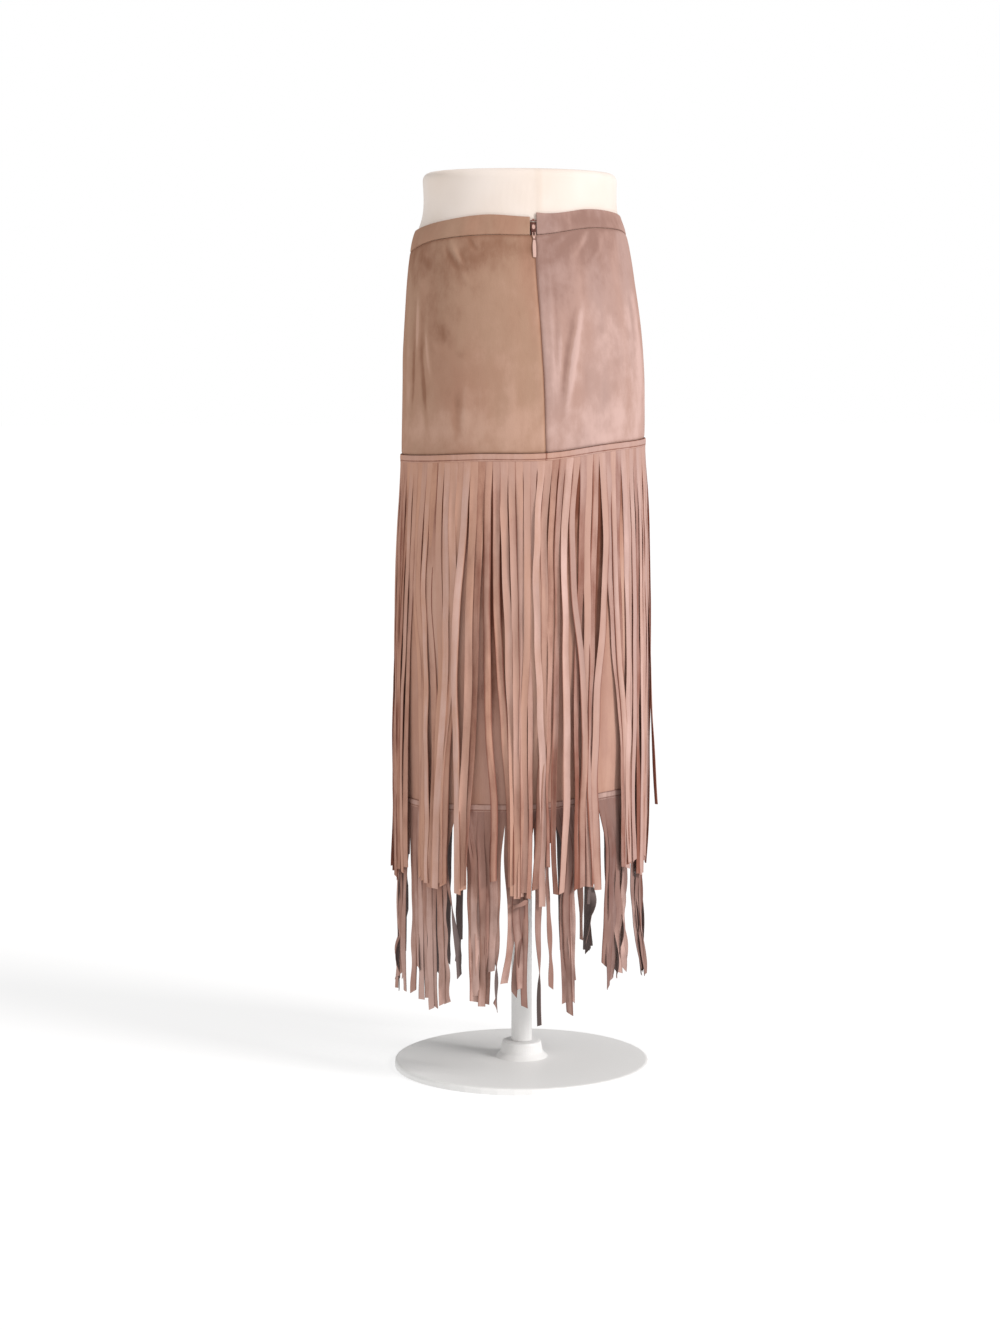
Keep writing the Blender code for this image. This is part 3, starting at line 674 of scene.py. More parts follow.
# %% Patches of nap, and of painted shade and highlight along creases
# Where the nap lies the other way, and narrow painted shade and painted highlight along creases:
# centre, reach and how much lighter (+) or darker (-).
Patch = namedtuple("Patch", "across drop reach_across reach_drop tone")
NAP_AND_SHADE_PATCHES = (
    Patch(-150, 60, 46, 30, -0.26),
    Patch(-92, 45, 26, 20, -0.20),
    Patch(-50, 48, 40, 14, -0.12),
    Patch(-30, 40, 20, 8, -0.16),
    Patch(-128, 125, 26, 26, -0.34),
    Patch(-60, 130, 44, 42, 0.22),
    Patch(-46, 210, 26, 46, 0.16),
    Patch(-150, 240, 60, 26, 0.42),
    Patch(-70, 246, 60, 20, 0.30),
    Patch(-20, 90, 22, 70, 0.16),
    # painted shade along crease troughs (the next three rows) and painted highlight along crease ridges
    # (the two after them)
    Patch(-176, 190, 10, 46, -0.30),
    Patch(-150, 205, 8, 42, -0.34),
    Patch(-104, 230, 9, 32, -0.26),
    Patch(-166, 128, 3, 36, 0.50),
    Patch(-148, 156, 3, 26, 0.45),
    Patch(-138, 90, 12, 10, -0.20),
    Patch(-100, 160, 9, 5, -0.20),
    Patch(20, 40, 42, 26, -0.40),
    Patch(80, 34, 70, 22, -0.34),
    Patch(70, 2, 110, 14, -0.55),
    Patch(110, 52, 44, 14, -0.14),
    Patch(24, 170, 12, 60, -0.28),
    Patch(90, 120, 46, 40, 0.22),
    Patch(60, 225, 52, 34, 0.30),
    Patch(132, 190, 18, 70, 0.20),
    Patch(100, 112, 5, 4, -0.42),
    Patch(75, 130, 4, 5, -0.50),
    Patch(95, 168, 4, 3, -0.34),
    Patch(90, 195, 4, 4, -0.28),
    Patch(12, 52, 7, 3, -0.25),
    Patch(-38, 96, 6, 5, -0.30),
    Patch(-82, 94, 6, 5, -0.22),
)
print("patches of nap:", len(NAP_AND_SHADE_PATCHES))

# %% Creases and nap as sums
CREASE_GAIN = 1.25
RIDGE_LIGHT = 0.62                          # how much lighter a ridge is painted for each millimetre it stands out, and a trough darker: painted highlight and shade, partly the nap flattened on ridges


def crease_relief(creases, across, drop):
    """Sum of the creases: lift x a bell across the line x a fade towards the line's two ends."""
    relief = np.zeros(np.broadcast(across, drop).shape)
    for crease in creases:
        line = np.array([crease.to_across - crease.across, crease.to_drop - crease.drop]) * MM
        length = np.hypot(*line)
        ahead = line / length
        offset = across - crease.across * MM
        below = drop - crease.drop * MM
        along = (offset * ahead[0] + below * ahead[1]) / length
        bow = crease.bow * MM * (1 - (2 * np.clip(along, 0, 1) - 1) ** 2)
        aside = offset * ahead[1] - below * ahead[0] - bow
        fade = np.sin(np.pi * np.clip(along, 0, 1)) ** 1.3
        relief += crease.lift * MM * fade * np.exp(-(aside / (crease.half_width * MM)) ** 2)
    return relief * CREASE_GAIN


def nap(across, drop):
    """Sum of the patches, nap and painted crease lines alike: each an oval bell."""
    tone = np.zeros(np.broadcast(across, drop).shape)
    for patch in NAP_AND_SHADE_PATCHES:
        x = (across / MM - patch.across) / patch.reach_across
        y = (drop / MM - patch.drop) / patch.reach_drop
        tone += patch.tone * np.exp(-x * x - y * y)
    return tone


def painted_light_slope(across, drop):
    """Painted shade under the band and painted light low down and towards the right side.
    Shade = -0.26 + 0.56 x share of the way down + 0.16 x share of the way to the right."""
    down = np.clip((drop - 0.020) / 0.240, 0, 1)
    right = np.clip(across / 0.150, -0.4, 1)
    return -0.26 + 0.56 * down + 0.16 * right


print("a ridge 1 mm tall is rubbed %.2f lighter" % RIDGE_LIGHT)

# %% What happens at a seam
SEAM_HALF = 0.15 * MM
SEAM_SHIFT = 4.0 * MM               # how far left of the middle the zip's seam starts
SEAM_LEAN = np.degrees(SEAM_SHIFT / RINGS[1].half_width)
SEAM_LEAN_TURN = 25.0               # degrees within which the panels move along with the seam


def seam_lean(angles, down):
    """Shift of the yoke's back panels: the zip's seam starts 4 mm to the left and comes to the
    middle at the fringe. Lean x (1 - down squared) x a fade away from the seam."""
    return -SEAM_LEAN * (1 - down ** 2) * np.clip(1 - np.abs(angles - 90) / SEAM_LEAN_TURN, 0, 1)


def rolled(distance, reach, depth):
    """How far cloth sinks near a seam: depth x (1 - distance / reach) squared."""
    return depth * np.clip(1 - distance / reach, 0, 1) ** 2


def edge_round(across_edge, radius):
    """How far a rounded edge falls back at this distance from its end: a quarter circle."""
    near = np.clip(1 - across_edge / radius, 0, 1)
    return radius * (1 - np.sqrt(1 - near ** 2))


print("the zip's seam leans by %.2f degrees at the waist" % SEAM_LEAN)

# %% [markdown]
# ## Waistband
#
# Two layers of suede, folded at the top edge and about 25 mm tall. Its right end stands a few
# millimetres above its left end at the zip. A box could be bent round the waist, but the band's
# height changes all the way round. Each piece is a section, with a rounded top and a rounded lower
# edge, carried round the waist between its two edges.

# %% Section of the waistband
BAND_THICK = 2.4 * MM
BAND_STEP = 5.0 * MM                # the right end's extra height at the zip
BAND_STEP_TURN = 25.0               # degrees within which the step fades out
BAND_ROWS = 25
BAND_COLUMNS = 1.6                  # for each degree
BAND_BELLY = 0.5 * MM
WAIST_RADIUS = 0.125
ZIP_LEFT, ZIP_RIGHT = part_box("waistband_back_left"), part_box("waistband_back_right")


def ripple(rng, heights, rates, angles, count):
    """A few random waves along an edge: the sum of height x sin(rate x angle + start)."""
    return sum(rng.uniform(*heights) * np.sin(angles * rng.uniform(*rates) + rng.uniform(0, 6))
               for _ in range(count))


def waistband(name, start_angle, end_angle, step, material, seed):
    """Section: a flat oval wall; it bellies out slightly and its thickness rounds off at each edge."""
    columns = int(abs(end_angle - start_angle) * BAND_COLUMNS) + 2
    angles = np.linspace(start_angle, end_angle, columns)
    lift = step * np.clip(1 - (angles - start_angle) / BAND_STEP_TURN, 0, 1) ** 2
    top = edge("band_top", angles) - lift
    foot = edge("band_seam", angles) - SEAM_HALF
    down = (1 - np.cos(np.linspace(0, np.pi, BAND_ROWS)))[:, None] / 2
    drop = top + (foot - top) * down
    from_end = np.minimum(drop - top, foot - drop)
    ends = np.radians(np.minimum(angles - start_angle, end_angle - angles)) * WAIST_RADIUS
    falling = edge_round(np.minimum(from_end, ends + 0.2 * MM), BAND_THICK / 2)
    rng = np.random.default_rng(seed)
    wave = ripple(rng, (0.1, 0.25), (0.12, 0.5), angles, 5)
    belly = (BAND_BELLY + wave * MM) * np.sin(np.pi * down)
    outer = place(angles, drop, belly - falling)
    inner = place(angles, drop, belly * 0.3 - BAND_THICK + falling)
    across = np.interp(angles, *YOKE_ARC)
    # painted shade along the band's lower edge, in its seam with the yoke
    shade = nap(across, drop) - 0.25 * rolled(foot - drop, 3 * MM, 1.0)
    cut = (across, drop, np.full(drop.shape, seed * 0.37))
    part = cloth_part(outer[None], inner[None], cut, shade)
    return make_piece(name, [part], material), outer


print("the band is %.1f mm thick and steps %.1f mm at the zip" % (BAND_THICK / MM, BAND_STEP / MM))

# %% Waistband pieces
left_end = float(back_angle(ZIP_LEFT[0][0], 0.0))
right_end = float(back_angle(ZIP_RIGHT[1][0], 0.0))
SEAM_TURN = np.degrees(SEAM_HALF / 0.1)
for name, first, last, step, material, seed in (
        ("waistband_front", 180 + SEAM_TURN, 360 - SEAM_TURN, 0.0, SUEDE_LEFT, 3),
        ("waistband_back_left", SEAM_TURN, left_end, 0.0, SUEDE_LEFT, 4),
        ("waistband_back_right", right_end, 180 - SEAM_TURN, BAND_STEP, SUEDE_RIGHT, 5)):
    piece, face = waistband(name + "_cloth", first, last, step, material, seed)
    hold(face, name)

# %% [markdown]
# ## Yoke
#
# Three fitted panels. The front runs from side seam to side seam, and the two back panels meet at
# the hidden zip. They could be one tube with seams painted on, but a real seam is a small valley.
# At each seam the cloth rolls inwards into that valley, and painted shade darkens it into the thin
# dark line that a seam shows; the pressed seam allowance makes a faint ridge beside it.

# %% Panels
PANEL_THICK = 1.3 * MM
GRID_STEP = 2.2 * MM
HIP_RADIUS = 0.12
ROLL_REACH = 3.5 * MM               # how near a panel's upper and lower seams the cloth rolls in
SIDE_ROLL_REACH = 2.6 * MM          # and how near its seams at the sides
ROLL_DEPTH = 0.9 * MM
RIDGE_TALL = 0.45 * MM              # the pressed seam allowance
RIDGE_FROM_SEAM = 4.5 * MM
RIDGE_HALF = 2.2 * MM
HELD_FLAT = 14 * MM                 # how far from its seams a panel is held smooth
COVERED_REACH = 200 * MM            # how far down the painted shade under the fringe reaches


def panel_grid(start_angle, end_angle, top_name, foot_name, foot_extra, seam_ends, step, arc):
    """Angles and drops of a panel between two edges. Rows are closer together near both seams:
    down = t - 0.35 sin(2 pi t) / 2 pi, where t runs evenly from 0 to 1."""
    short = np.degrees(SEAM_HALF / HIP_RADIUS)
    first, last = start_angle + short, end_angle - short
    columns = int(np.interp(last, *arc) / step - np.interp(first, *arc) / step) + 2
    angles = np.linspace(first, last, columns)
    height = edge(foot_name, angles) + foot_extra - edge(top_name, angles)
    even = np.linspace(0, 1, int(height.mean() / step) + 2)[:, None]
    down = even + 0.35 * np.sin(2 * np.pi * even) / (-2 * np.pi)
    angles = angles + seam_ends * seam_lean(angles, down)
    top = edge(top_name, angles) + SEAM_HALF
    foot = edge(foot_name, angles) - SEAM_HALF + foot_extra
    return angles, down, top, foot


print("panels: a grid of %.1f mm squares" % (GRID_STEP / MM))

# %% A panel
PANEL_WAVES = 7


def swell_of(across, drop, seed):
    """A panel's slow waves: the sum of height x sin(rate x across + start + slant x drop)."""
    rng = np.random.default_rng(seed)
    return sum(rng.uniform(0.05, 0.2) * np.sin(across * rng.uniform(25, 80) + rng.uniform(0, 6)
                                               + drop * rng.uniform(-14, 14))
               for _ in range(PANEL_WAVES))


def panel_shade(across, drop, top, foot, from_seam, painted_light_and_shade, seam_ends, painted_fringe_shade):
    """Shade of a panel: its nap + painted highlight on ridges and painted shade in troughs, partly
    the nap flattened on the ridges, + a painted slope of light - painted shade in its seams and
    under the fringe over it.
    """
    # nap + painted highlight and shade on the creases + a painted slope of light
    shade = nap(across, drop) + RIDGE_LIGHT * painted_light_and_shade + painted_light_slope(across, drop)
    # painted shade in the seam valleys at the panel's sides and along its upper and lower seams
    shade -= 1.1 * rolled(from_seam, 2.4 * MM, 1.0) * seam_ends
    shade -= 0.5 * rolled(drop - top, 5 * MM, 1.0) + 0.6 * rolled(foot - drop, 4 * MM, 1.0)
    # painted shade under the fringe, fading out downwards
    return shade - painted_fringe_shade * np.clip(1 - (drop - top) / COVERED_REACH, 0, 1)


def panel(name, start_angle, end_angle, top_name, foot_name, foot_extra, creases, material,
          seed, seam_ends, number_on_cut, step=GRID_STEP, arc=YOKE_ARC, swell_out=0.0, painted_fringe_shade=0.0):
    """A panel: the oval + creases + a slow swell, rolled in at its seams. Seam_ends is 1 where its
    sides roll in and 0 where they don't; the last argument is how much painted shade it gets under the
    fringe."""
    angles, down, top, foot = panel_grid(start_angle, end_angle, top_name, foot_name, foot_extra,
                                         seam_ends, step, arc)
    across = np.interp(angles, *arc)
    drop = top + (foot - top) * down
    from_seam = np.minimum(across - across[:, :1], across[:, -1:] - across)
    loose = np.clip(np.minimum(drop - top, foot - drop) / HELD_FLAT, 0, 1)
    ridges = crease_relief(creases, across, drop)
    relief = (swell_of(across, drop, seed) * MM + ridges) * loose ** 0.7
    relief += seam_ends * RIDGE_TALL * np.exp(-((from_seam - RIDGE_FROM_SEAM) / RIDGE_HALF) ** 2)
    relief += swell_out * np.sin(np.pi * down) ** 0.8
    sink = rolled(drop - top, ROLL_REACH, ROLL_DEPTH) + rolled(foot - drop, ROLL_REACH, ROLL_DEPTH)
    sink += seam_ends * rolled(from_seam, SIDE_ROLL_REACH, ROLL_DEPTH)
    outer = place(angles, drop, relief - sink)
    inner = place(angles, drop, relief - sink - PANEL_THICK)
    shade = panel_shade(across, drop, top, foot, from_seam, ridges / MM, seam_ends, painted_fringe_shade)
    cut = (across, drop, np.full(drop.shape, number_on_cut))
    part = cloth_part(outer[None], inner[None], cut, shade)
    return make_piece(name, [part], material), outer


print("a panel's wall is %.1f mm thick" % (PANEL_THICK / MM))

# %% Yoke
for name, first, last, creases, material, seed in (
        ("yoke_back_left", 0, 90, BACK_CREASES, SUEDE_LEFT, 11),
        ("yoke_back_right", 90, 180, BACK_CREASES, SUEDE_RIGHT, 12),
        ("yoke_front", 180, 360, FRONT_CREASES, SUEDE_LEFT, 13)):
    piece, face = panel(name + "_cloth", first, last, "band_seam", "yoke_seam", 0.0, creases,
                        material, seed, 1.0, seed * 0.29)
    hold(face, name)

# %% [markdown]
# ## Lower skirt
#
# Two plain panels hang straight down from the yoke. They could be left out where the fringe hides
# them, but they show wherever it parts, and every strip lies on them. Their grid is coarser than the
# yoke's and their creases are long and slow.

# %% Lower skirt panels
HEADER_DROP = 9.0 * MM
UNDER_STEP = 4.0 * MM
UNDER_SWELL = 3.0 * MM
# painted shade on the lower skirt under the fringe, strongest at its top
UNDER_PAINTED_SHADE = 1.7
for side, first, seed in (("back", 0, 21), ("front", 180, 22)):
    piece, face = panel("skirt_%s_cloth" % side, first, first + 180, "yoke_seam", "hem_seam",
                        HEADER_DROP, UNDER_CREASES, SUEDE_UNDER, seed, 0.0, seed * 0.31,
                        UNDER_STEP, STRIP_ARC, UNDER_SWELL, UNDER_PAINTED_SHADE)
    hold(face, "skirt_" + side)

# %% [markdown]
# ## Fringe strips
#
# Each tier is one piece of suede cut upwards into strips, as far as a header that is sewn down. A
# hair or cloth system could let the strips fall, but then nobody could say where each one lies. A
# strip is a ribbon carried along a path that starts flat at the header and then drifts, twists a
# little and lies over its neighbours. The paths behind are listed, one row for each strip,
# because that is where they gather into the bunches and gaps that give this skirt its look. The
# rest of the way round is drawn from the same habits with a fixed seed.

# %% Paths of the upper strips
# Millimetres round from the centre back at the header and at fixed levels below the waist, then
# the tip's place and level, how many strips it lies over, and how far its lower half is turned.
Strip = namedtuple("Strip", "top at_360 at_440 at_520 at_600 at_680 tip tip_drop layer turn")
UPPER_LEVELS = (0.360, 0.440, 0.520, 0.600, 0.680)
UPPER_STRIPS = (
    Strip(-222, -222, -224, -226, -228, -228, -226, 778, 1, 10),
    Strip(-213, -213, -214, -216, -217, -216, -215, 782, 2, -10),
    Strip(-204, -204, -207, -211, -212, -212, -211, 775, 1, 8),
    Strip(-195, -196, -200, -205, -206, -205, -205, 770, 1, -12),
    Strip(-186, -188, -191, -196, -198, -198, -196, 772, 2, 14),
    Strip(-177, -179, -182, -187, -189, -189, -187, 765, 1, -30),
    Strip(-168, -171, -173, -164, -160, -158, -157, 772, 1, 25),
    Strip(-159, -163, -165, -155, -152, -152, -151, 775, 2, -14),
    Strip(-150, -154, -156, -150, -149, -146, -146, 778, 3, 10),
    Strip(-141, -145, -147, -140, -136, -136, -141, 783, 1, -40),
    Strip(-132, -134, -132, -128, -131, -134, -138, 781, 2, 16),
    Strip(-123, -123, -121, -120, -125, -130, -133, 783, 3, -10),
    Strip(-114, -114, -113, -115, -122, -126, -127, 776, 2, 20),
    Strip(-105, -107, -109, -112, -118, -121, -122, 778, 1, -25),
    Strip(-96, -99, -105, -108, -107, -104, -103, 787, 4, 8),
    Strip(-87, -88, -91, -91, -93, -97, -97, 782, 3, -12),
    Strip(-78, -80, -83, -84, -87, -91, -93, 776, 1, 35),
    Strip(-69, -70, -70, -69, -66, -61, -60, 770, 2, -10),
    Strip(-60, -59, -58, -54, -48, -42, -40, 775, 1, 24),
    Strip(-51, -50, -46, -43, -40, -38, -37, 787, 2, -18),
    Strip(-42, -40, -37, -35, -34, -33, -33, 790, 3, 10),
    Strip(-33, -31, -29, -28, -28, -27, -29, 788, 1, -35),
    Strip(-24, -23, -22, -24, -26, -25, -24, 783, 2, 14),
    Strip(-15, -18, -20, -20, -19, -18, -20, 790, 1, -45),
    Strip(-6, -11, -12, -9, -6, -4, -5, 800, 4, 8),
    Strip(3, -3, -3, -1, -3, -8, -12, 780, 1, 30),
    Strip(12, 6, 5, 5, 3, 1, 2, 753, 0, -50),
    Strip(21, 13, 14, 13, 11, 9, 11, 786, 1, 40),
    Strip(30, 22, 21, 23, 25, 24, 18, 785, 4, -8),
    Strip(39, 32, 34, 44, 46, 45, 44, 780, 3, 20),
    Strip(48, 45, 42, 38, 37, 37, 36, 782, 1, -30),
    Strip(57, 53, 51, 51, 50, 52, 54, 780, 2, 12),
    Strip(66, 62, 59, 57, 55, 54, 58, 778, 1, -36),
    Strip(75, 78, 75, 68, 62, 61, 66, 785, 4, 10),
    Strip(84, 85, 88, 95, 104, 106, 106, 762, 1, -20),
    Strip(93, 93, 95, 101, 108, 110, 111, 764, 2, 18),
    Strip(102, 99, 100, 104, 109, 109, 108, 760, 0, 50),
    Strip(111, 114, 116, 117, 114, 112, 114, 757, 2, -8),
    Strip(120, 122, 124, 125, 122, 119, 120, 760, 1, 10),
    Strip(129, 130, 131, 132, 130, 127, 127, 758, 2, -8),
    Strip(138, 141, 141, 141, 141, 142, 139, 775, 1, 12),
    Strip(147, 149, 149, 149, 149, 149, 146, 778, 2, -8),
    Strip(156, 157, 157, 157, 156, 155, 151, 776, 1, 14),
    Strip(165, 165, 165, 165, 165, 164, 160, 757, 2, -10),
    Strip(174, 174, 173, 173, 174, 173, 172, 757, 1, 12),
    Strip(183, 183, 183, 184, 185, 186, 187, 698, 3, -70),
    Strip(192, 193, 194, 194, 192, 190, 191, 768, 1, 18),
    Strip(201, 200, 200, 203, 204, 204, 203, 772, 3, -10),
    Strip(210, 208, 207, 208, 209, 209, 211, 765, 2, 14),
    Strip(219, 219, 221, 219, 217, 216, 216, 770, 1, -20),
)
print("upper tier: %d strips by hand" % len(UPPER_STRIPS))

# %% Paths of the lower strips
LOWER_LEVELS = (0.740, 0.800, 0.860)
Short = namedtuple("Short", "top at_740 at_800 at_860 tip tip_drop layer turn")
LOWER_STRIPS = (
    Short(-222, -223, -222, -222, -221, 905, 1, 20),
    Short(-213, -214, -215, -216, -216, 900, 1, -30),
    Short(-204, -206, -208, -210, -212, 903, 1, -40),
    Short(-195, -197, -205, -206, -205, 918, 2, -50),
    Short(-186, -183, -180, -180, -181, 915, 1, -30),
    Short(-177, -176, -173, -171, -169, 885, 1, 30),
    Short(-168, -168, -166, -164, -162, 921, 2, -10),
    Short(-159, -160, -159, -157, -154, 918, 1, 16),
    Short(-150, -150, -149, -147, -145, 930, 2, -14),
    Short(-141, -142, -142, -141, -140, 927, 1, 20),
    Short(-132, -134, -132, -129, -127, 922, 2, -12),
    Short(-123, -129, -126, -124, -122, 920, 1, 10),
    Short(-114, -124, -114, -106, -104, 886, 3, 122),
    Short(-105, -92, -89, -87, -86, 915, 1, -20),
    Short(-96, -87, -85, -84, -83, 908, 2, 12),
    Short(-87, -82, -80, -79, -79, 900, 1, -10),
    Short(-78, -77, -74, -74, -75, 920, 2, 14),
    Short(-69, -70, -68, -69, -71, 917, 1, -12),
    Short(-60, -62, -62, -63, -64, 878, 2, 10),
    Short(-51, -57, -58, -58, -58, 921, 1, 70),
    Short(-42, -45, -41, -43, -49, 892, 2, -24),
    Short(-33, -37, -28, -34, -37, 905, 1, 30),
    Short(-24, -27, -35, -31, -30, 898, 2, -20),
    Short(-15, -22, -24, -25, -24, 920, 1, 14),
    Short(-6, -9, -8, -7, -6, 942, 3, -104),
    Short(3, 2, 5, 7, 7, 898, 1, -30),
    Short(12, 28, 23, 24, 26, 917, 1, 20),
    Short(21, 31, 26, 27, 30, 930, 3, 50),
    Short(30, 31, 30, 32, 34, 915, 2, -25),
    Short(39, 35, 34, 35, 37, 892, 1, 30),
    Short(48, 44, 45, 46, 46, 843, 1, 95),
    Short(57, 53, 61, 52, 51, 846, 2, 300),
    Short(66, 60, 60, 59, 57, 802, 1, 150),
    Short(75, 88, 86, 83, 82, 878, 1, 12),
    Short(84, 93, 91, 88, 87, 905, 2, -14),
    Short(93, 98, 97, 95, 94, 897, 1, 18),
    Short(102, 104, 103, 102, 101, 894, 2, -22),
    Short(111, 108, 107, 106, 106, 890, 1, 34),
    Short(120, 114, 112, 112, 112, 886, 3, -12),
    Short(129, 120, 116, 116, 116, 884, 1, 16),
    Short(138, 136, 136, 146, 161, 893, 2, 20),
    Short(147, 141, 140, 149, 163, 900, 1, -20),
    Short(156, 147, 143, 151, 165, 903, 3, 24),
    Short(165, 153, 147, 153, 165, 895, 2, -16),
    Short(174, 159, 150, 154, 166, 886, 1, 20),
    Short(183, 165, 153, 156, 167, 899, 2, -24),
    Short(192, 171, 156, 157, 168, 890, 1, 30),
    Short(201, 212, 233, 221, 212, 893, 2, -18),
    Short(210, 217, 236, 223, 211, 903, 1, 14),
    Short(219, 224, 240, 226, 213, 899, 2, -26),
)
print("lower tier: %d strips by hand" % len(LOWER_STRIPS))

# %% Paths of the strips in front
PITCH = 9.0 * MM
FRONT_FIRST = (UPPER_STRIPS[-1].top * MM) + PITCH
FRONT_COUNT = int(round((STRIP_ROUND - len(UPPER_STRIPS) * PITCH) / PITCH))
FRONT_PITCH = (STRIP_ROUND - len(UPPER_STRIPS) * PITCH) / FRONT_COUNT
BUNCH_MARGIN = PITCH * 0.4
FRONT_LAYERS = 5
FRONT_TURN = 26                     # degrees, the usual turn of a strip's lower half

# Where the front's strips have gathered at their tips, from and to, in the upper and lower tier.
UPPER_BUNCHES = ((232, 266), (274, 307), (315, 367), (377, 404), (409, 436), (446, 474), (479, 504),
                 (514, 566), (578, 620), (628, 656))
LOWER_BUNCHES = ((283, 299), (284, 309), (328, 332), (350, 367), (409, 433), (451, 484), (498, 504),
                 (514, 562), (600, 620), (634, 654))


def gathered_places(tops, bunches):
    """Where each front strip ends up: its bunch's start + the bunch's width x the strip's share of
    the way across the bunch's own cell of the header."""
    starts, ends = np.array(bunches).T * MM
    between = (ends[:-1] + starts[1:]) / 2
    walls_at = np.concatenate([[tops[0] - PITCH / 2], between, [tops[-1] + PITCH / 2]])
    cell = np.searchsorted(between, tops)
    share_across = (tops - walls_at[cell]) / (walls_at[cell + 1] - walls_at[cell])
    return starts[cell] + BUNCH_MARGIN + (ends - starts - 2 * BUNCH_MARGIN)[cell] * share_across


def drawn_rows(levels, tips, spread, seed, bunches, delay):
    """Strips for the front: each is squeezed into its own bunch, more so the lower it hangs.
    Place = top + (gathered place - top) x share of the way down to the power of delay + drift."""
    rng = np.random.default_rng(seed)
    tops = FRONT_FIRST + (FRONT_PITCH - PITCH) / 2 + FRONT_PITCH * np.arange(FRONT_COUNT)
    gathered = gathered_places(tops, bunches)
    rows = [tops]
    drift = rng.normal(0, spread, FRONT_COUNT) * MM
    for step in range(1, len(levels) + 2):
        share = (step / (len(levels) + 1)) ** delay
        drift = drift + rng.normal(0, spread * 0.5, FRONT_COUNT) * MM
        rows.append(tops + (gathered - tops) * share + drift * share * (1.15 - share))
    tip_drops = rng.uniform(*tips, FRONT_COUNT) * MM
    layers = rng.integers(0, FRONT_LAYERS, FRONT_COUNT)
    turns = rng.normal(0, FRONT_TURN, FRONT_COUNT)
    return np.array(rows).T, tip_drops, layers, turns


def all_rows(table, levels, tips, spread, seed, bunches, delay):
    """The listed rows and then the drawn ones, as arrays."""
    by_hand = np.array(table, float)
    paths, tip_drops, layers, turns = drawn_rows(levels, tips, spread, seed, bunches, delay)
    return (np.concatenate([by_hand[:, :-3] * MM, paths]),
            np.concatenate([by_hand[:, -3] * MM, tip_drops]),
            np.concatenate([by_hand[:, -2], layers]),
            np.concatenate([by_hand[:, -1], turns]))


print("front: %d strips drawn in each tier, %.2f mm apart" % (FRONT_COUNT, FRONT_PITCH / MM))

# %% [markdown]
# ### Lying over each other
#
# Where two strips share a place, the one in the higher layer rides over the other. Going up through
# the layers, each strip is pushed out just past whatever already lies under it, so bunches swell
# and throw shadows the way real ones do, and the strips don't cut through each other.

# %% Layers
HANG_BELOW = (0.0, 0.012, 0.040, 0.100, 0.190, 0.330, 0.600)
UPPER_HANG = (0.7, 0.8, 1.6, 4.2, 6.4, 7.6, 8.0)
LOWER_HANG = (0.7, 0.8, 1.3, 1.7, 1.9, 2.2, 2.6)
RIBBON_THICK = 0.95 * MM
RIBBON_WIDTH = 9.3 * MM
LONGEST_HANG = 0.46


def ease(values, reach):
    """Averages along each strip, so that no step is left in its path."""
    kernel = np.hanning(reach + 2)[1:-1]
    kernel /= kernel.sum()
    padded = np.pad(values, ((0, 0), (reach // 2, reach // 2)), mode="edge")
    return np.stack([np.convolve(row, kernel, mode="valid") for row in padded])


def pushed_out(across, half, layer, step):
    """Push = the greatest of (push + step) x overlap over the strips in lower layers."""
    order = np.lexsort((np.arange(len(layer)) % 2, layer))
    push = np.zeros(across.shape)
    for rank, strip in enumerate(order[1:], start=1):
        under = order[:rank]
        apart = np.abs((across[under] - across[strip] + STRIP_ROUND / 2) % STRIP_ROUND
                       - STRIP_ROUND / 2)
        overlap = np.clip((0.98 - apart / (half[under] + half[strip])) / 0.25, 0, 1)
        push[strip] = ((push[under] + step) * overlap ** 0.7).max(axis=0)
    return push


def close_hang(across, below, layer):
    """Share of the full hang: 1 at the sides and at both ends, less for the inner layers between."""
    inner = 0.50 + 0.11 * layer
    sides = np.clip((np.abs(across + 24 * MM) - 158 * MM) / (22 * MM), 0, 1)
    half_way = np.sin(np.pi * np.clip(below / LONGEST_HANG, 0, 1)) ** 0.7
    return 1 - (1 - inner) * (1 - sides) * half_way


print("a ribbon is %.1f mm wide and %.2f mm thick" % (RIBBON_WIDTH / MM, RIBBON_THICK / MM))

# %% The middle line of every strip
UNDER_STITCHES = 1.6 * MM           # how far a strip starts above its header's lower edge
SHORT_OF_TIP = 12 * MM
OPEN_MIDDLE = 4 * MM                # behind, near the middle, the slits open sooner and wider
OPEN_REACH = 46 * MM
STEADY_MIDDLE = -22 * MM            # far from here the strips hardly twist
STEADY_FROM = 95 * MM
STEADY_REACH = 45 * MM

Lines = namedtuple("Lines", "along drop below across free slit waves")


def path_at(path, levels, start_drop, tip_drop, drop):
    """One strip's place round the skirt at each drop; levels too near its tip are left out."""
    used = np.array(levels) < tip_drop - SHORT_OF_TIP
    xs = [start_drop, *np.array(levels)[used], tip_drop]
    ys = [path[0], *path[1:-1][used], path[-1]]
    return smooth(xs, ys, drop)


def wander(rng, heights, lengths, drop, count):
    """Waves down each strip: the sum of height x sin(2 pi drop / length + start), all random."""
    each = (len(drop), 1)
    return sum(heights(each) * np.sin(2 * np.pi * drop / rng.uniform(*lengths, each)
                                      + rng.uniform(0, 7, each)) for _ in range(count))


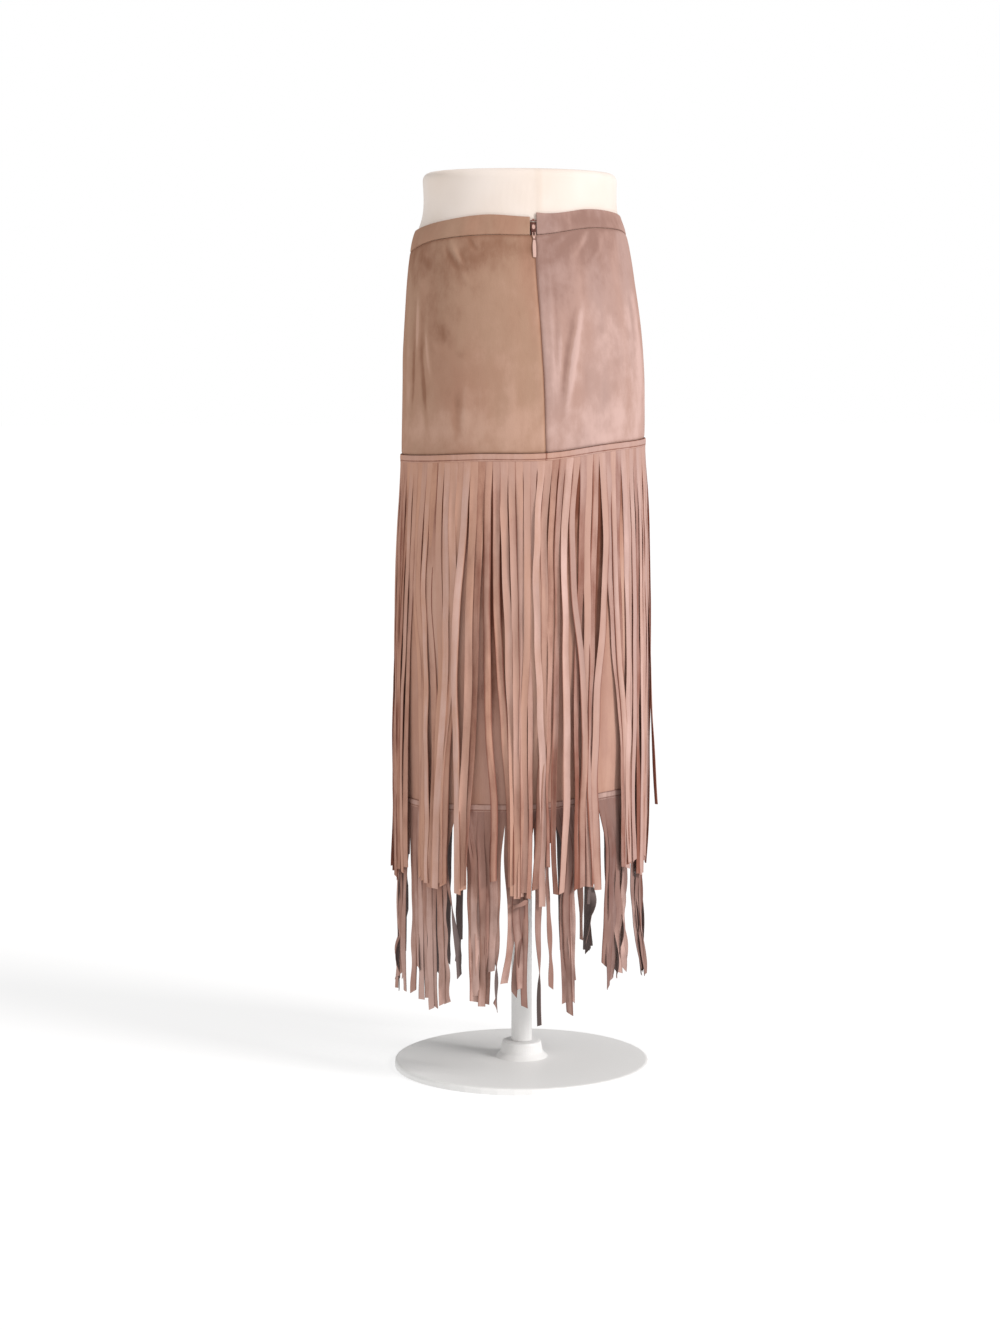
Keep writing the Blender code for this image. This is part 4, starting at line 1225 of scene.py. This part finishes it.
def strip_lines(rows, levels, seam, count_rows, rng):
    """Where each strip's middle runs: its path + small waves x how free it hangs. Free goes
    smoothly from 0 at the header to 1 a few centimetres below it."""
    paths, tips = rows[:2]
    start_drop = edge(seam, angle_at(paths[:, 0], STRIP_ARC)) + HEADER_DROP - UNDER_STITCHES
    along = np.linspace(0, 1, count_rows)
    drop = start_drop[:, None] + (tips - start_drop)[:, None] * along
    across = np.stack([path_at(paths[i], levels, start_drop[i], tips[i], drop[i])
                       for i in range(len(tips))])
    below = drop - start_drop[:, None]
    slit = np.exp(-((paths[:, :1] - OPEN_MIDDLE) / OPEN_REACH) ** 4)
    free = np.clip(below / (0.06 - 0.035 * slit), 0, 1)
    free = free * free * (3 - 2 * free)
    waves = wander(rng, lambda each: rng.uniform(0.1, 0.5, each), (0.07, 0.28), drop, 3)
    return Lines(along, drop, below, across + waves * free * MM, free, slit, waves)


def strip_turns(lines, turn, curl, rng, crumple):
    """How far each strip is turned about its line: slow waves + its own turn lower down + a
    quicker winding where the tier is crumpled. Strips at the sides hang steadier."""
    aside = (np.abs(lines.across - STEADY_MIDDLE) - STEADY_FROM) / STEADY_REACH
    steady = 1 - 0.65 * np.clip(aside, 0, 1)
    slow = wander(rng, lambda each: rng.normal(0, 8, each), (0.10, 0.40), lines.drop, 2)
    reach = lines.drop[:, -1:] - lines.drop[:, :1]
    lower_part = np.clip(lines.below / reach * 1.6 - 0.3, 0, 1)
    winding = wander(crumple, lambda each: crumple.normal(0, 0.7, each), (0.045, 0.12), lines.drop, 2)
    winding = winding * np.clip(lines.along * 1.5 - 0.3, 0, 1)
    twist = np.radians(slow * lines.free + turn[:, None] * lower_part ** 1.5) * steady
    return twist + np.radians(curl) * winding, 0.02 * curl * MM * winding


print("a strip is free within 25 to 60 mm of its header")

# %% Faces of the strips
RIBBON_COLUMNS = 7


def unit(vectors):
    """Vectors divided by their own lengths."""
    return vectors / np.linalg.norm(vectors, axis=-1, keepdims=True)


def strip_axes(angle, drop, out):
    """Middle line of each strip, with the directions round the skirt, down the strip and outwards."""
    middle = place(angle, drop, out)
    round_it = unit(place(angle + 0.2, drop, out) - place(angle - 0.2, drop, out))
    ahead = unit(np.gradient(middle, axis=1))
    outward = unit(np.cross(ahead, round_it))
    return middle, unit(np.cross(outward, ahead)), ahead, outward


def strip_faces(axes, lines, twist, half, ragged, rng):
    """Outer and inner faces. Point = middle + side x half width x v + face x cup (v squared - 0.35),
    where v runs from -1 to 1 across the strip; its tip is cut aslant and its edges are thinner."""
    middle, round_it, ahead, outward = axes
    each = (len(half), 1)
    cos, sin = np.cos(twist)[..., None], np.sin(twist)[..., None]
    side = cos * round_it + sin * outward
    face = cos * outward - sin * round_it
    v = np.sin(np.linspace(-np.pi / 2, np.pi / 2, RIBBON_COLUMNS))
    cup = ease(rng.normal(0.0, 0.75, twist.shape), 15) * 2.2 + rng.normal(0.25, 0.5, each)
    cup = cup * lines.free * MM
    at_tip = np.clip((lines.along - 0.96) / 0.04, 0, 1)
    slant = ragged * rng.normal(0, 1.2, each) * MM * at_tip
    bend = cup[..., None] * (v ** 2 - 0.35)
    thick = RIBBON_THICK / 2 * (1 - 0.45 * v ** 6)
    centre = middle[:, :, None] + side[:, :, None] * (half[..., None] * v)[..., None]
    centre = centre + face[:, :, None] * bend[..., None]
    centre = centre + ahead[:, :, None] * (slant[..., None] * v)[..., None]
    outer = centre + face[:, :, None] * thick[:, None]
    return outer, centre - face[:, :, None] * thick[:, None], v


print("each strip has %d points across it" % RIBBON_COLUMNS)

# %% Tones of the strips
OWN_TONE = (-0.05, 0.22)            # mean and spread of a strip's own tone
USUAL_LAYER = 1.8
PALER_SHARE = 0.2                   # of the strips, which were cut from a paler patch
EDGE_SHADE_NARROWNESS = 12                       # the greater, the narrower the painted shade along a strip's edges


def strip_tones(lines, tops, layer, painted_shading, v, rng):
    """Tone = the strip's own, with painted light on the upper layers and painted shade on the lower
    ones, - painted shade along its edges, partly the darker cut edge, + painted shading near the
    tips. The own tone and the edge shade grow from the header down, as the slits open."""
    count = len(layer)
    # strips lying over others get painted light, those lying underneath painted shade
    own = rng.normal(*OWN_TONE, count) + 0.13 * (layer - USUAL_LAYER)
    own = own + 0.15 * (rng.random(count) < PALER_SHARE)
    # painted shade along each strip's edges, stronger towards the right, partly the darker cut edge; it
    # grows as the slits open
    towards_right = np.clip(tops[:, None, None] / (60 * MM), 0, 1)
    edges = (2.5 + 1.2 * towards_right) * rng.random((count, 1, 2)) ** 2.5
    edges = np.where(v < 0, edges[..., :1], edges[..., 1:])
    early = 0.15 + (0.35 + 0.5 * lines.slit) * rng.random((count, 1)) ** (2 - lines.slit)
    opened = (early + (1 - early) * np.clip(lines.below / 0.11, 0, 1))[..., None]
    # painted shading near the tips: painted shade on the right of the upper tier, painted light at the
    # lower tier's tips
    painted_light_and_shade = np.interp(lines.across, (-110 * MM, 0.0), painted_shading[1:])
    painted_light_and_shade = painted_light_and_shade * np.clip((lines.drop - painted_shading[0]) / 0.08, 0, 1)
    tone = own[:, None, None] * (0.35 + 0.65 * opened) - edges * opened * np.abs(v) ** EDGE_SHADE_NARROWNESS
    return tone + painted_light_and_shade[..., None]


print("one strip in %.0f is cut from a paler patch" % (1 / PALER_SHARE))

# %% Ribbons
NUMBER_STEP = 0.173                 # moves each strip's patterns on the cut


def ribbons(rows, levels, seam, hang, step, count_rows, seed, flares, curl, painted_shading):
    """All strips of a tier as grids, from their lines, turns, layers and tones. A strip named in
    flares stands away from the rest by a number of millimetres at its tip. Curl, in degrees, is how
    much the lower half of a crumpled strip winds to and fro. The last argument gives the level where
    the strips' ends start to be painted lighter (+) or darker (-), and by how much on the left and on
    the right."""
    paths, tips, layer, turn = rows
    each = (len(tips), 1)
    rng = np.random.default_rng(seed)
    crumple = np.random.default_rng(seed + 50)
    lines = strip_lines(rows, levels, seam, count_rows, rng)
    twist, aside = strip_turns(lines, turn, curl, rng, crumple)
    lines = lines._replace(across=lines.across + aside)
    ragged = 1 + 0.8 * np.sign(curl)
    half = RIBBON_WIDTH / 2 * (1 + ragged * rng.uniform(-0.07, 0.07, each)) * (1 + 0.03 * lines.waves)
    narrow = (1 - 0.04 * lines.free) * (1 - 0.26 * lines.slit * lines.free * crumple.random(each))
    half = np.broadcast_to(half * narrow, lines.drop.shape)
    base = np.interp(lines.below, HANG_BELOW, hang) * MM
    base = base * close_hang(lines.across, lines.below, layer[:, None])
    push = pushed_out(lines.across, half * np.abs(np.cos(twist)), layer, step)
    out = base + ease(push * lines.free, 5) + half * np.abs(np.sin(twist)) * 0.8
    for top, reach in flares:
        strip = np.argmin(np.abs(paths[:, 0] - top * MM))
        out[strip] += reach * MM * lines.along ** 4
    axes = strip_axes(angle_at(lines.across, STRIP_ARC), lines.drop, out)
    outer, inner, v = strip_faces(axes, lines, twist, half, ragged, rng)
    number_each = np.arange(len(tips))[:, None, None] * NUMBER_STEP
    drop = lines.drop[..., None]
    cut = (half[..., None] * v + number_each, drop + 0 * v, number_each + 0 * drop)
    tone = strip_tones(lines, paths[:, 0], layer, painted_shading, v, rng)
    return outer, inner, cut, np.broadcast_to(tone, outer.shape[:3])


print("ribbons are ready to be cut for both tiers")

# %% [markdown]
# ### Headers
#
# The uncut upper edge of each tier is its header, which is sewn round the skirt and joined at the
# centre back. It could be left to the top of the strips, but then the slits would run into the seam.
# It is a wall of its own, 9 mm tall, with a groove where its stitches draw it down.

# %% A header
HEADER_STITCH = 6.8 * MM            # from the header's upper edge down to its row of stitches
HEADER_COLUMNS = 241
HEADER_ROWS = 25
HEADER_FACES = (1.5 * MM, 0.35 * MM)
GROOVE_HALF = 0.7 * MM
JOIN_HALF = 0.45                    # degrees


def header(first_angle, last_angle, seam, seed, tone, join):
    """The uncut band over the strips: a soft flat roll with a groove under its stitches, and a
    pressed line across it where its two ends are joined below the zip. Both dips are bells, and
    both carry painted shade, as do the band's rounded edges."""
    short = np.degrees(SEAM_HALF / HIP_RADIUS)
    angles = np.linspace(first_angle + short, last_angle - short, HEADER_COLUMNS)
    top = edge(seam, angles) + SEAM_HALF
    down = np.linspace(0, 1, HEADER_ROWS)[:, None]
    drop = top + HEADER_DROP * down
    from_end = np.minimum(drop - top, top + HEADER_DROP - drop)
    pucker = ripple(np.random.default_rng(seed), (0.03, 0.09), (0.8, 3.4), angles, 6)
    swell = (0.12 + pucker) * np.sin(np.pi * down) * MM
    groove = np.exp(-((drop - top - HEADER_STITCH) / GROOVE_HALF) ** 2)
    joined = join * np.exp(-((angles - CENTRE_BACK) / JOIN_HALF) ** 2)
    pressed = (0.35 * groove + 0.3 * joined) * MM
    outer = place(angles, drop, HEADER_FACES[0] + swell - edge_round(from_end, 0.6 * MM) - pressed)
    inner = place(angles, drop, HEADER_FACES[1] + 0 * swell)
    across = np.interp(angles, *STRIP_ARC)
    # painted shade at the header's rounded edges, in its stitched groove and along its join
    shade = tone - 0.8 * rolled(from_end, 1.2 * MM, 1.0) - 0.9 * groove - 0.9 * joined
    return outer, inner, (across, drop, np.full(drop.shape, seed * 0.41)), shade


print("a header is %.1f mm tall and up to %.1f mm thick" % (HEADER_DROP / MM, HEADER_FACES[0] / MM))

# %% The two tiers
def tier(name, material, table, levels, tips, spread, bunches, delay, seam, hang, step,
         count_rows, seed, flares, header_tone, curl, painted_shading):
    """One tier of fringe: its back and front pieces, each a header and its strips. The cut is as
    wide as the header and as long as the longest strip; its area leaves out what is cut away."""
    rows = all_rows(table, levels, tips, spread, seed, bunches, delay)
    outer, inner, cut, tone = ribbons(rows, levels, seam, hang, step, count_rows, seed + 1, flares,
                                      curl, painted_shading)
    top_angle = angle_at(rows[0][:, 0], STRIP_ARC) % 360
    for side, first in (("back", 0), ("front", 180)):
        mine = (top_angle >= first) & (top_angle < first + 180)
        strips = cloth_part(outer[mine], inner[mine], [part[mine] for part in cut], tone[mine])
        head = header(first, first + 180, seam, seed + 2 + first, header_tone, side == "back")
        band = cloth_part(head[0][None], head[1][None], head[2], head[3])
        node = "%s_%s" % (name, side)
        piece = make_piece(node + "_strips", [band, strips], material)
        width = float(cut_size(head[0])[0])
        lengths = rows[1][mine] - edge(seam, top_angle[mine])
        area = float((lengths * width / mine.sum()).sum())
        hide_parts(node)


# Strips that stand away from the rest at their tips (+) or are tucked in (-), in millimetres.
UPPER_FLARES = ((174, -3.0), (183, 6.5), (192, -5.0), (201, -5.5), (210, -4.5), (219, -3.0))
LOWER_FLARES = ((-222, 5.0),)

# The last argument of each tier: painted shade on the right of the upper tier's lower part, painted
# light at the lower tier's tips.
tier("fringe_upper", SUEDE_TIER_A, UPPER_STRIPS, UPPER_LEVELS, tips=(757, 795), spread=4.0,
     bunches=UPPER_BUNCHES, delay=0.8, seam="yoke_seam", hang=UPPER_HANG, step=1.1 * MM,
     count_rows=64, seed=31, flares=UPPER_FLARES, header_tone=0.12, curl=0,
     painted_shading=(0.600, 0.0, -0.26))
tier("fringe_lower", SUEDE_TIER_B, LOWER_STRIPS, LOWER_LEVELS, tips=(880, 926), spread=3.0,
     bunches=LOWER_BUNCHES, delay=0.3, seam="hem_seam", hang=LOWER_HANG, step=1.0 * MM,
     count_rows=48, seed=41, flares=LOWER_FLARES, header_tone=0.45, curl=17,
     painted_shading=(0.770, 0.52, 0.22))

# %% [markdown]
# ## Stitches
#
# Each header is sewn down with one row of small stitches that lie in its groove. They could be
# instances of one stitch, but they are so simple that one array works out all of them: each is a
# short rod whose ends dip into the cloth.

# %% Stitches
STITCH_PITCH = 3.2 * MM
STITCH_LONG = 2.4 * MM
THREAD_RADIUS = 0.24 * MM
STITCH_PROUD = 1.36 * MM
STITCH_DIP = 0.3 * MM


def thread():
    """Twisted thread: slanting turns, a little darker than the suede."""
    material, shader = new_material("thread", 0.7, Specular_IOR_Level=0.2)
    turns = start(material).noise(1500.0, 1.0)
    paint(shader, turns.between(0.3, 0.7).mix(colour(0.27, 0.13, 0.09), colour(0.43, 0.24, 0.18)))
    return material


def stitches(seam):
    """Square rods along the header's groove. Radius = thread x root of (1 - s squared), where s runs
    from -1 to 1 along a stitch, and its middle line sinks by s to the fourth."""
    count = int(STRIP_ROUND / STITCH_PITCH)
    s = np.array([-0.97, -0.7, 0.0, 0.7, 0.97])
    middle = np.arange(count) * STRIP_ROUND / count - STRIP_ROUND / 2
    angles = angle_at(middle[:, None] + s * STITCH_LONG / 2, STRIP_ARC)
    drop = edge(seam, angles) + SEAM_HALF + HEADER_STITCH
    centre = place(angles, drop, STITCH_PROUD - STITCH_DIP * s ** 4)
    outward = unit(place(angles, drop, 1.0) - place(angles, drop, 0.0))
    radius = (THREAD_RADIUS * np.sqrt(1 - s ** 2))[:, None]
    ring = [centre + radius * (np.cos(turn) * outward + np.sin(turn) * np.array([0, 0, 1.0]))
            for turn in np.radians([45, 135, 225, 315])]
    points = np.stack(ring, axis=2).reshape(-1, 3)
    index = np.arange(count * len(s) * len(ring)).reshape(count, len(s), len(ring))
    nearer, further = index[:, :-1], index[:, 1:]
    sides = np.stack([nearer, np.roll(nearer, -1, axis=2), np.roll(further, -1, axis=2), further],
                     axis=-1)
    faces = np.concatenate([sides.reshape(-1, 4), index[:, 0, ::-1], index[:, -1]])
    return points, faces


make_piece("header_stitches", [stitches("yoke_seam"), stitches("hem_seam")], thread())

# %% [markdown]
# ## A knot
#
# Behind, three strips of the lower tier are tied together by a fourth. The strips could be bent into
# a true knot, but at this size all that shows is the tie: a ribbon wound a little more than once
# round them, tilted, with its ends lying over each other.

# %% Knot
KNOT_ACROSS = -30.0 * MM
KNOT_DROP = 797.0 * MM
KNOT_HALF = 8.5 * MM
KNOT_DEEP = 6.5 * MM
KNOT_TALL = 5.0 * MM
KNOT_OUT = 5.0 * MM
KNOT_TURN = 215                     # degrees that the tie goes each way from its middle
KNOT_TILT = 0.45


def knot():
    """A ribbon round the strips. Across = half width x sin turn and out = depth x cos turn, both
    growing with the turn, so that the oval is a spiral and its ends lie over each other."""
    turn = np.radians(np.linspace(-KNOT_TURN, KNOT_TURN, 61))
    grow = 1 + 0.06 * turn / np.pi
    down = np.linspace(-0.5, 0.5, 7)[:, None]
    section = 0.6 * MM * (1 - (2 * down) ** 2)

    def at(extra):
        around = (KNOT_HALF * grow + extra) * np.sin(turn)
        out = (KNOT_DEEP * grow + extra) * np.cos(turn) + KNOT_OUT
        lower = KNOT_DROP + KNOT_TALL * down * (1 + 0.25 * np.sin(3 * turn)) - KNOT_TILT * around
        return place(angle_at(KNOT_ACROSS + around, STRIP_ARC), lower, out)

    outer = at(section)
    cut = (KNOT_ACROSS + 0.02 * turn + 0 * down, KNOT_DROP + KNOT_TALL * down + 0 * turn,
           5.0 + 0 * down * turn)
    part = cloth_part(outer[None], at(section - RIBBON_THICK)[None], cut, 0.1 + 0 * down * turn)
    piece = make_piece("fringe_knot", [part], SUEDE_TIER_B)
    width, length, area = cut_size(outer)


knot()

# %% [markdown]
# ## Zip, hook and pull
#
# The hard parts keep their imported shapes, because those are what swings and collides. They could be
# modelled again with finer edges, but they are only a few millimetres long. They only need their
# finishes: a bronze lacquer, mottled a little, and enamel on the pull and the slider's dome.

# %% Metal
def metal(name, base, edge_tone, roughness, metallic):
    """Lacquered metal: one colour, mottled slightly, with a fine uneven gloss."""
    material, shader = new_material(name, roughness, Metallic=metallic)
    here = start(material)
    mottle = here.noise(900.0, 3.0, 0.6)
    paint(shader, mottle.between(0.25, 0.8).mix(colour(*base), colour(*edge_tone)))
    paint(shader, 0.25 * here.noise(2400.0) + (roughness - 0.12), "Roughness")
    bump(shader, mottle, 0.15, 0.1 * MM)
    return material


def from_point(wire, point, reach):
    """0 at a point and 1 at a reach from it, told apart along each of the three directions."""
    values = {0: wire, 1: point}
    offset = wire.node("ShaderNodeVectorMath", {"operation": "SUBTRACT"}, values)
    scaled = offset.stretched([1 / part if part else 0.0 for part in reach])
    return scaled.node("ShaderNodeVectorMath", {"operation": "LENGTH"}, {0: scaled}, 1)


BRONZE = metal("bronze_lacquer", (0.15, 0.055, 0.042), (0.36, 0.170, 0.130), 0.45, 0.4)
STAND = metal("stand_paint", (0.84, 0.835, 0.825), (0.88, 0.875, 0.865), 0.42, 0.0)
print("metal: bronze lacquer and the stand's paint")

# %% Enamel
DOME_DOWN = 4.2 * MM                # from the slider's upper end to the middle of its dome
DOME_REACH = (2.1 * MM, 0.0, 3.0 * MM)
NECK_DROP = 27.3 * MM               # from the waist to the pull's neck
NECK_REACH = 1.1 * MM
PULL_HALF = 2.3 * MM


def slider_finish():
    """Bronze all over except its dome, which is enamelled like the pull."""
    low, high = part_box("zip_slider")
    middle = ((low[0] + high[0]) / 2, 0.0, high[2] - DOME_DOWN)
    material, shader = new_material("enamelled_slider", 0.42, Specular_IOR_Level=0.25)
    here = start(material)
    edge_of = from_point(here, middle, DOME_REACH) + 0.3 * (here.noise(1500.0, 2.0) - 0.5)
    paint(shader, edge_of.between(0.75, 1.0).mix(colour(0.58, 0.36, 0.30), colour(0.115, 0.040, 0.030)))
    return material


def pull_finish():
    """Pink enamel, darkened to bronze along its two sides and round the neck under its link: painted
    shade at its rim and neck.
    """
    low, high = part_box("zip_pull")
    middle = ((low[0] + high[0]) / 2, 0.0, 0.0)
    neck = (0.0, 0.0, WAIST_TOP - NECK_DROP)
    material, shader = new_material("pink_enamel", 0.36)
    here = start(material)
    grain = 0.3 * (here.noise(1500.0, 2.0) - 0.5)
    side = (from_point(here, middle, (PULL_HALF, 0.0, 0.0)) + grain).between(0.72, 1.0)
    ring = 1 - (from_point(here, neck, (0.0, 0.0, NECK_REACH)) + grain).between(0.5, 1.0)
    # painted shade along the pull's sides and round its neck
    painted_shading = side.math("MAXIMUM", side, ring)
    paint(shader, painted_shading.mix(colour(0.62, 0.40, 0.34), colour(0.20, 0.090, 0.068)))
    bump(shader, here.noise(900.0, 3.0), 0.1, 0.1 * MM)
    return material


def cover_node(name, material):
    """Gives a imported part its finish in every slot."""
    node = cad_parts[name]
    if not node.material_slots:
        node.data.materials.append(material)
    for slot in node.material_slots:
        slot.material = material


for name, material in (("zip_slider", slider_finish()), ("hook_and_bar", BRONZE),
                       ("zip_pull", pull_finish()), ("form_pole", STAND), ("form_base", STAND)):
    cover_node(name, material)
    print("finished", name)

# %% [markdown]
# ## Zip chain
#
# Between the two panels lies the zip: a woven tape with a coil of fine plastic turns along its
# middle. The coil could be a helix, but its turns stand only half a millimetre proud, so it is a
# strip whose outer face rises and falls. A few centimetres down it is drawn in behind the seam.

# %% Zip chain
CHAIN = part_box("zip_chain")
TOOTH_PITCH = 1.3 * MM
ROWS_TO_A_TOOTH = 6
CHAIN_COLUMNS = 17
CHAIN_WIDTH = 7.0 * MM
COIL_HALF = 0.42                    # of half the chain's width
CHAIN_FACES = (-1.95 * MM, -2.5 * MM)
COIL_TALL = 0.55 * MM
CHAIN_DRAWN_TOP = 30.0 * MM         # below the waist, where the chain starts to go behind the seam
CHAIN_DRAWN_IN = 50.0 * MM
SEAM_TOP = 4.0 * MM                 # the seam's place across, at its upper end
ZIP_MIDDLE = (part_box("zip_slider")[0][0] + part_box("zip_slider")[1][0]) / 2


def zip_material():
    """Woven tape with its raised coil: ribs across the tape, and the coil's turns painted a little
    lighter on top and darker between them, as painted highlight and painted shade.
    """
    material, shader = new_material("zip_tape", 0.85, Specular_IOR_Level=0.1)
    cut = start(material, "cut")
    weave = cut.stretched((2200.0, 2600.0, 1.0)).noise(1.0, 1.0)
    tone = number(material, "shade") + 0.5 * (weave - 0.5)
    paint(shader, tone.between(-0.6, 0.8).mix(colour(0.12, 0.050, 0.036), colour(0.32, 0.17, 0.13)))
    bump(shader, weave, 0.3, 0.2 * MM)
    return material


def zip_chain():
    """A strip across the zip whose outer face rises as cos of height (the coil's turns) x a bell."""
    rows = int((CHAIN[1][2] - CHAIN[0][2]) / (TOOTH_PITCH / ROWS_TO_A_TOOTH))
    drop = WAIST_TOP - np.linspace(CHAIN[1][2], CHAIN[0][2], rows)[:, None]
    drawn_in = np.clip((drop - CHAIN_DRAWN_TOP) / CHAIN_DRAWN_IN, 0, 1)
    middle_x = ZIP_MIDDLE + (SEAM_TOP - ZIP_MIDDLE) * drawn_in
    x = middle_x + CHAIN_WIDTH * np.linspace(0.5, -0.5, CHAIN_COLUMNS)
    angles = back_angle(x, drop)
    v = np.linspace(-1, 1, CHAIN_COLUMNS)
    coil = np.exp(-(v / COIL_HALF) ** 4)
    slope = 2.2 * np.sign(v) * (np.abs(v) < COIL_HALF)
    turns = 0.5 + 0.5 * np.cos(2 * np.pi * drop / TOOTH_PITCH + slope)
    outer = place(angles, drop, CHAIN_FACES[0] + COIL_TALL * coil * (0.35 + 0.65 * turns))
    inner = place(angles, drop, CHAIN_FACES[1] + 0 * coil * turns)
    cut = (x + 0 * drop, drop + 0 * x, 0 * drop * x)
    # painted highlight on the coil's raised turns, painted shade on the tape around them
    part = cloth_part(outer[None], inner[None], cut, coil * turns - 0.3)
    piece = make_piece("zip_tape_and_coil", [part], zip_material())
    width, length, area = cut_size(outer)
    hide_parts("zip_chain")


zip_chain()

# %% [markdown]
# ## Dress form
#
# A firm foam torso under a cream jersey cover with a seam down its middle. Only a narrow stretch of
# it shows above the waistband, and its foot closes the view up through the skirt. The cover is one
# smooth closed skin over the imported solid, rounded at both ends.

# %% Jersey
def jersey():
    """Fine knit: close ribs on the cover's own grid, cream with a warmer lean in its patches."""
    material, shader = new_material("cream_jersey", 0.88, Sheen_Weight=0.3, Sheen_Roughness=0.5)
    cut = start(material, "cut")
    here = cut.noise(11.0, 2.0)
    tone = number(material, "shade") + here
    paint(shader, tone.between(0.0, 0.9).mix(colour(0.76, 0.64, 0.55), colour(0.88, 0.79, 0.73)))
    wave = cut.node("ShaderNodeTexWave", {"wave_type": "BANDS", "bands_direction": "X"},
                    {"Vector": cut, "Scale": 210.0, "Distortion": 1.2, "Detail": 1.0}, 1)
    bump(shader, wave, 0.25, 0.3 * MM)
    return material


JERSEY = jersey()
print("jersey: cream, with fine ribs")

# %% Rings of the cover
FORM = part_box("form_torso")
FORM_ROUND = 10.0 * MM
COVER_STEP = 2.0                    # degrees
COVER_RINGS = 110                   # between its two rounded ends
COVER_SEAM = 91.0                   # degrees
CLEAR_AT_WAIST = 2.8 * MM
CLEAR_BELOW = 1.4 * MM              # more, from the hip down
COVER_THIN = 0.2 * MM


def cover_rings(angles):
    """Rings of the oval, 3.0 mm inside the cloth's own oval at the waist and 4.4 mm below it. Each
    end is rounded: inset = round x (1 - root of (1 - (1 - step) squared))."""
    steps = np.array([0.0, 0.04, 0.15, 0.32, 0.5, 0.75, 1.0])
    inset = 1 - np.sqrt(1 - (1 - steps) ** 2)
    top, foot = FORM[1][2], FORM[0][2]
    between = np.linspace(top - 1.4 * FORM_ROUND, foot + 1.4 * FORM_ROUND, COVER_RINGS)
    levels = np.concatenate([top - steps * FORM_ROUND, between, foot + steps[::-1] * FORM_ROUND])
    insets = np.concatenate([inset, np.zeros(COVER_RINGS), inset[::-1]])[:, None] * FORM_ROUND
    drop = (WAIST_TOP - levels)[:, None]
    clear = CLEAR_AT_WAIST + CLEAR_BELOW * np.clip((drop - 0.030) / 0.050, 0, 1)
    off_seam = np.radians(np.abs(angles - COVER_SEAM)) * 0.1
    ridge = np.exp(-((off_seam - 2.0 * MM) / (1.2 * MM)) ** 2)
    seam = 0.4 * MM * (ridge - 1.6 * np.exp(-(off_seam / (0.7 * MM)) ** 2))
    return place(angles, drop, -clear - insets + seam * (insets < 1e-6) - COVER_THIN)


def closed_rows(rings):
    """Rows of the cover plus shrinking rings that close its top and its foot."""
    shares = np.array([0.0, 0.3, 0.6, 0.85])[:, None, None]
    top, foot = rings[0].mean(axis=0), rings[-1].mean(axis=0)
    return np.concatenate([top + (rings[0][None] - top) * shares, rings,
                           foot + (rings[-1][None] - foot) * shares[::-1]])


COVER_ANGLES = np.arange(0, 360, COVER_STEP)
cover_grid = closed_rows(cover_rings(COVER_ANGLES))
print("cover: %d rings of %d points" % cover_grid.shape[:2])

# %% Cover
def drop_loose_points(mesh):
    """Takes away the points that no face uses."""
    spare = bmesh.new()
    spare.from_mesh(mesh)
    bmesh.ops.delete(spare, geom=[point for point in spare.verts if not point.link_faces],
                     context="VERTS")
    spare.to_mesh(mesh)
    spare.free()


def closed_cover(every):
    """The grid as one closed skin: its first and last rows meet in one point each, so the faces
    there are triangles."""
    rows, columns = every.shape[:2]
    index = np.arange(rows * columns).reshape(rows, columns)
    index[0] = index[0, 0]
    index[-1] = index[-1, 0]
    right = np.roll(index, -1, axis=1)
    quads = np.stack([index[:-1], index[1:], right[1:], right[:-1]], axis=-1).reshape(-1, 4).tolist()
    mesh = bpy.data.meshes.new("form_jersey_cover")
    mesh.from_pydata(every.reshape(-1, 3).tolist(), [], [list(dict.fromkeys(quad)) for quad in quads])
    angles = np.broadcast_to(COVER_ANGLES, (rows, columns))
    flat = mesh.attributes.new("cut", "FLOAT_VECTOR", "POINT")
    down = every[..., 2]
    across = np.radians(angles) * WAIST_RADIUS
    flat.data.foreach_set("vector", np.stack([across, -down, 0 * down], axis=-1).ravel())
    shade = mesh.attributes.new("shade", "FLOAT", "POINT")
    # painted shade along the cover's seam
    shade.data.foreach_set("value", -0.5 * np.exp(-((angles - COVER_SEAM) / 0.9) ** 2).ravel())
    drop_loose_points(mesh)
    mesh.shade_smooth()
    return put_in_scene("form_jersey_cover", mesh, JERSEY)


cover = closed_cover(cover_grid)
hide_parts("form_torso")
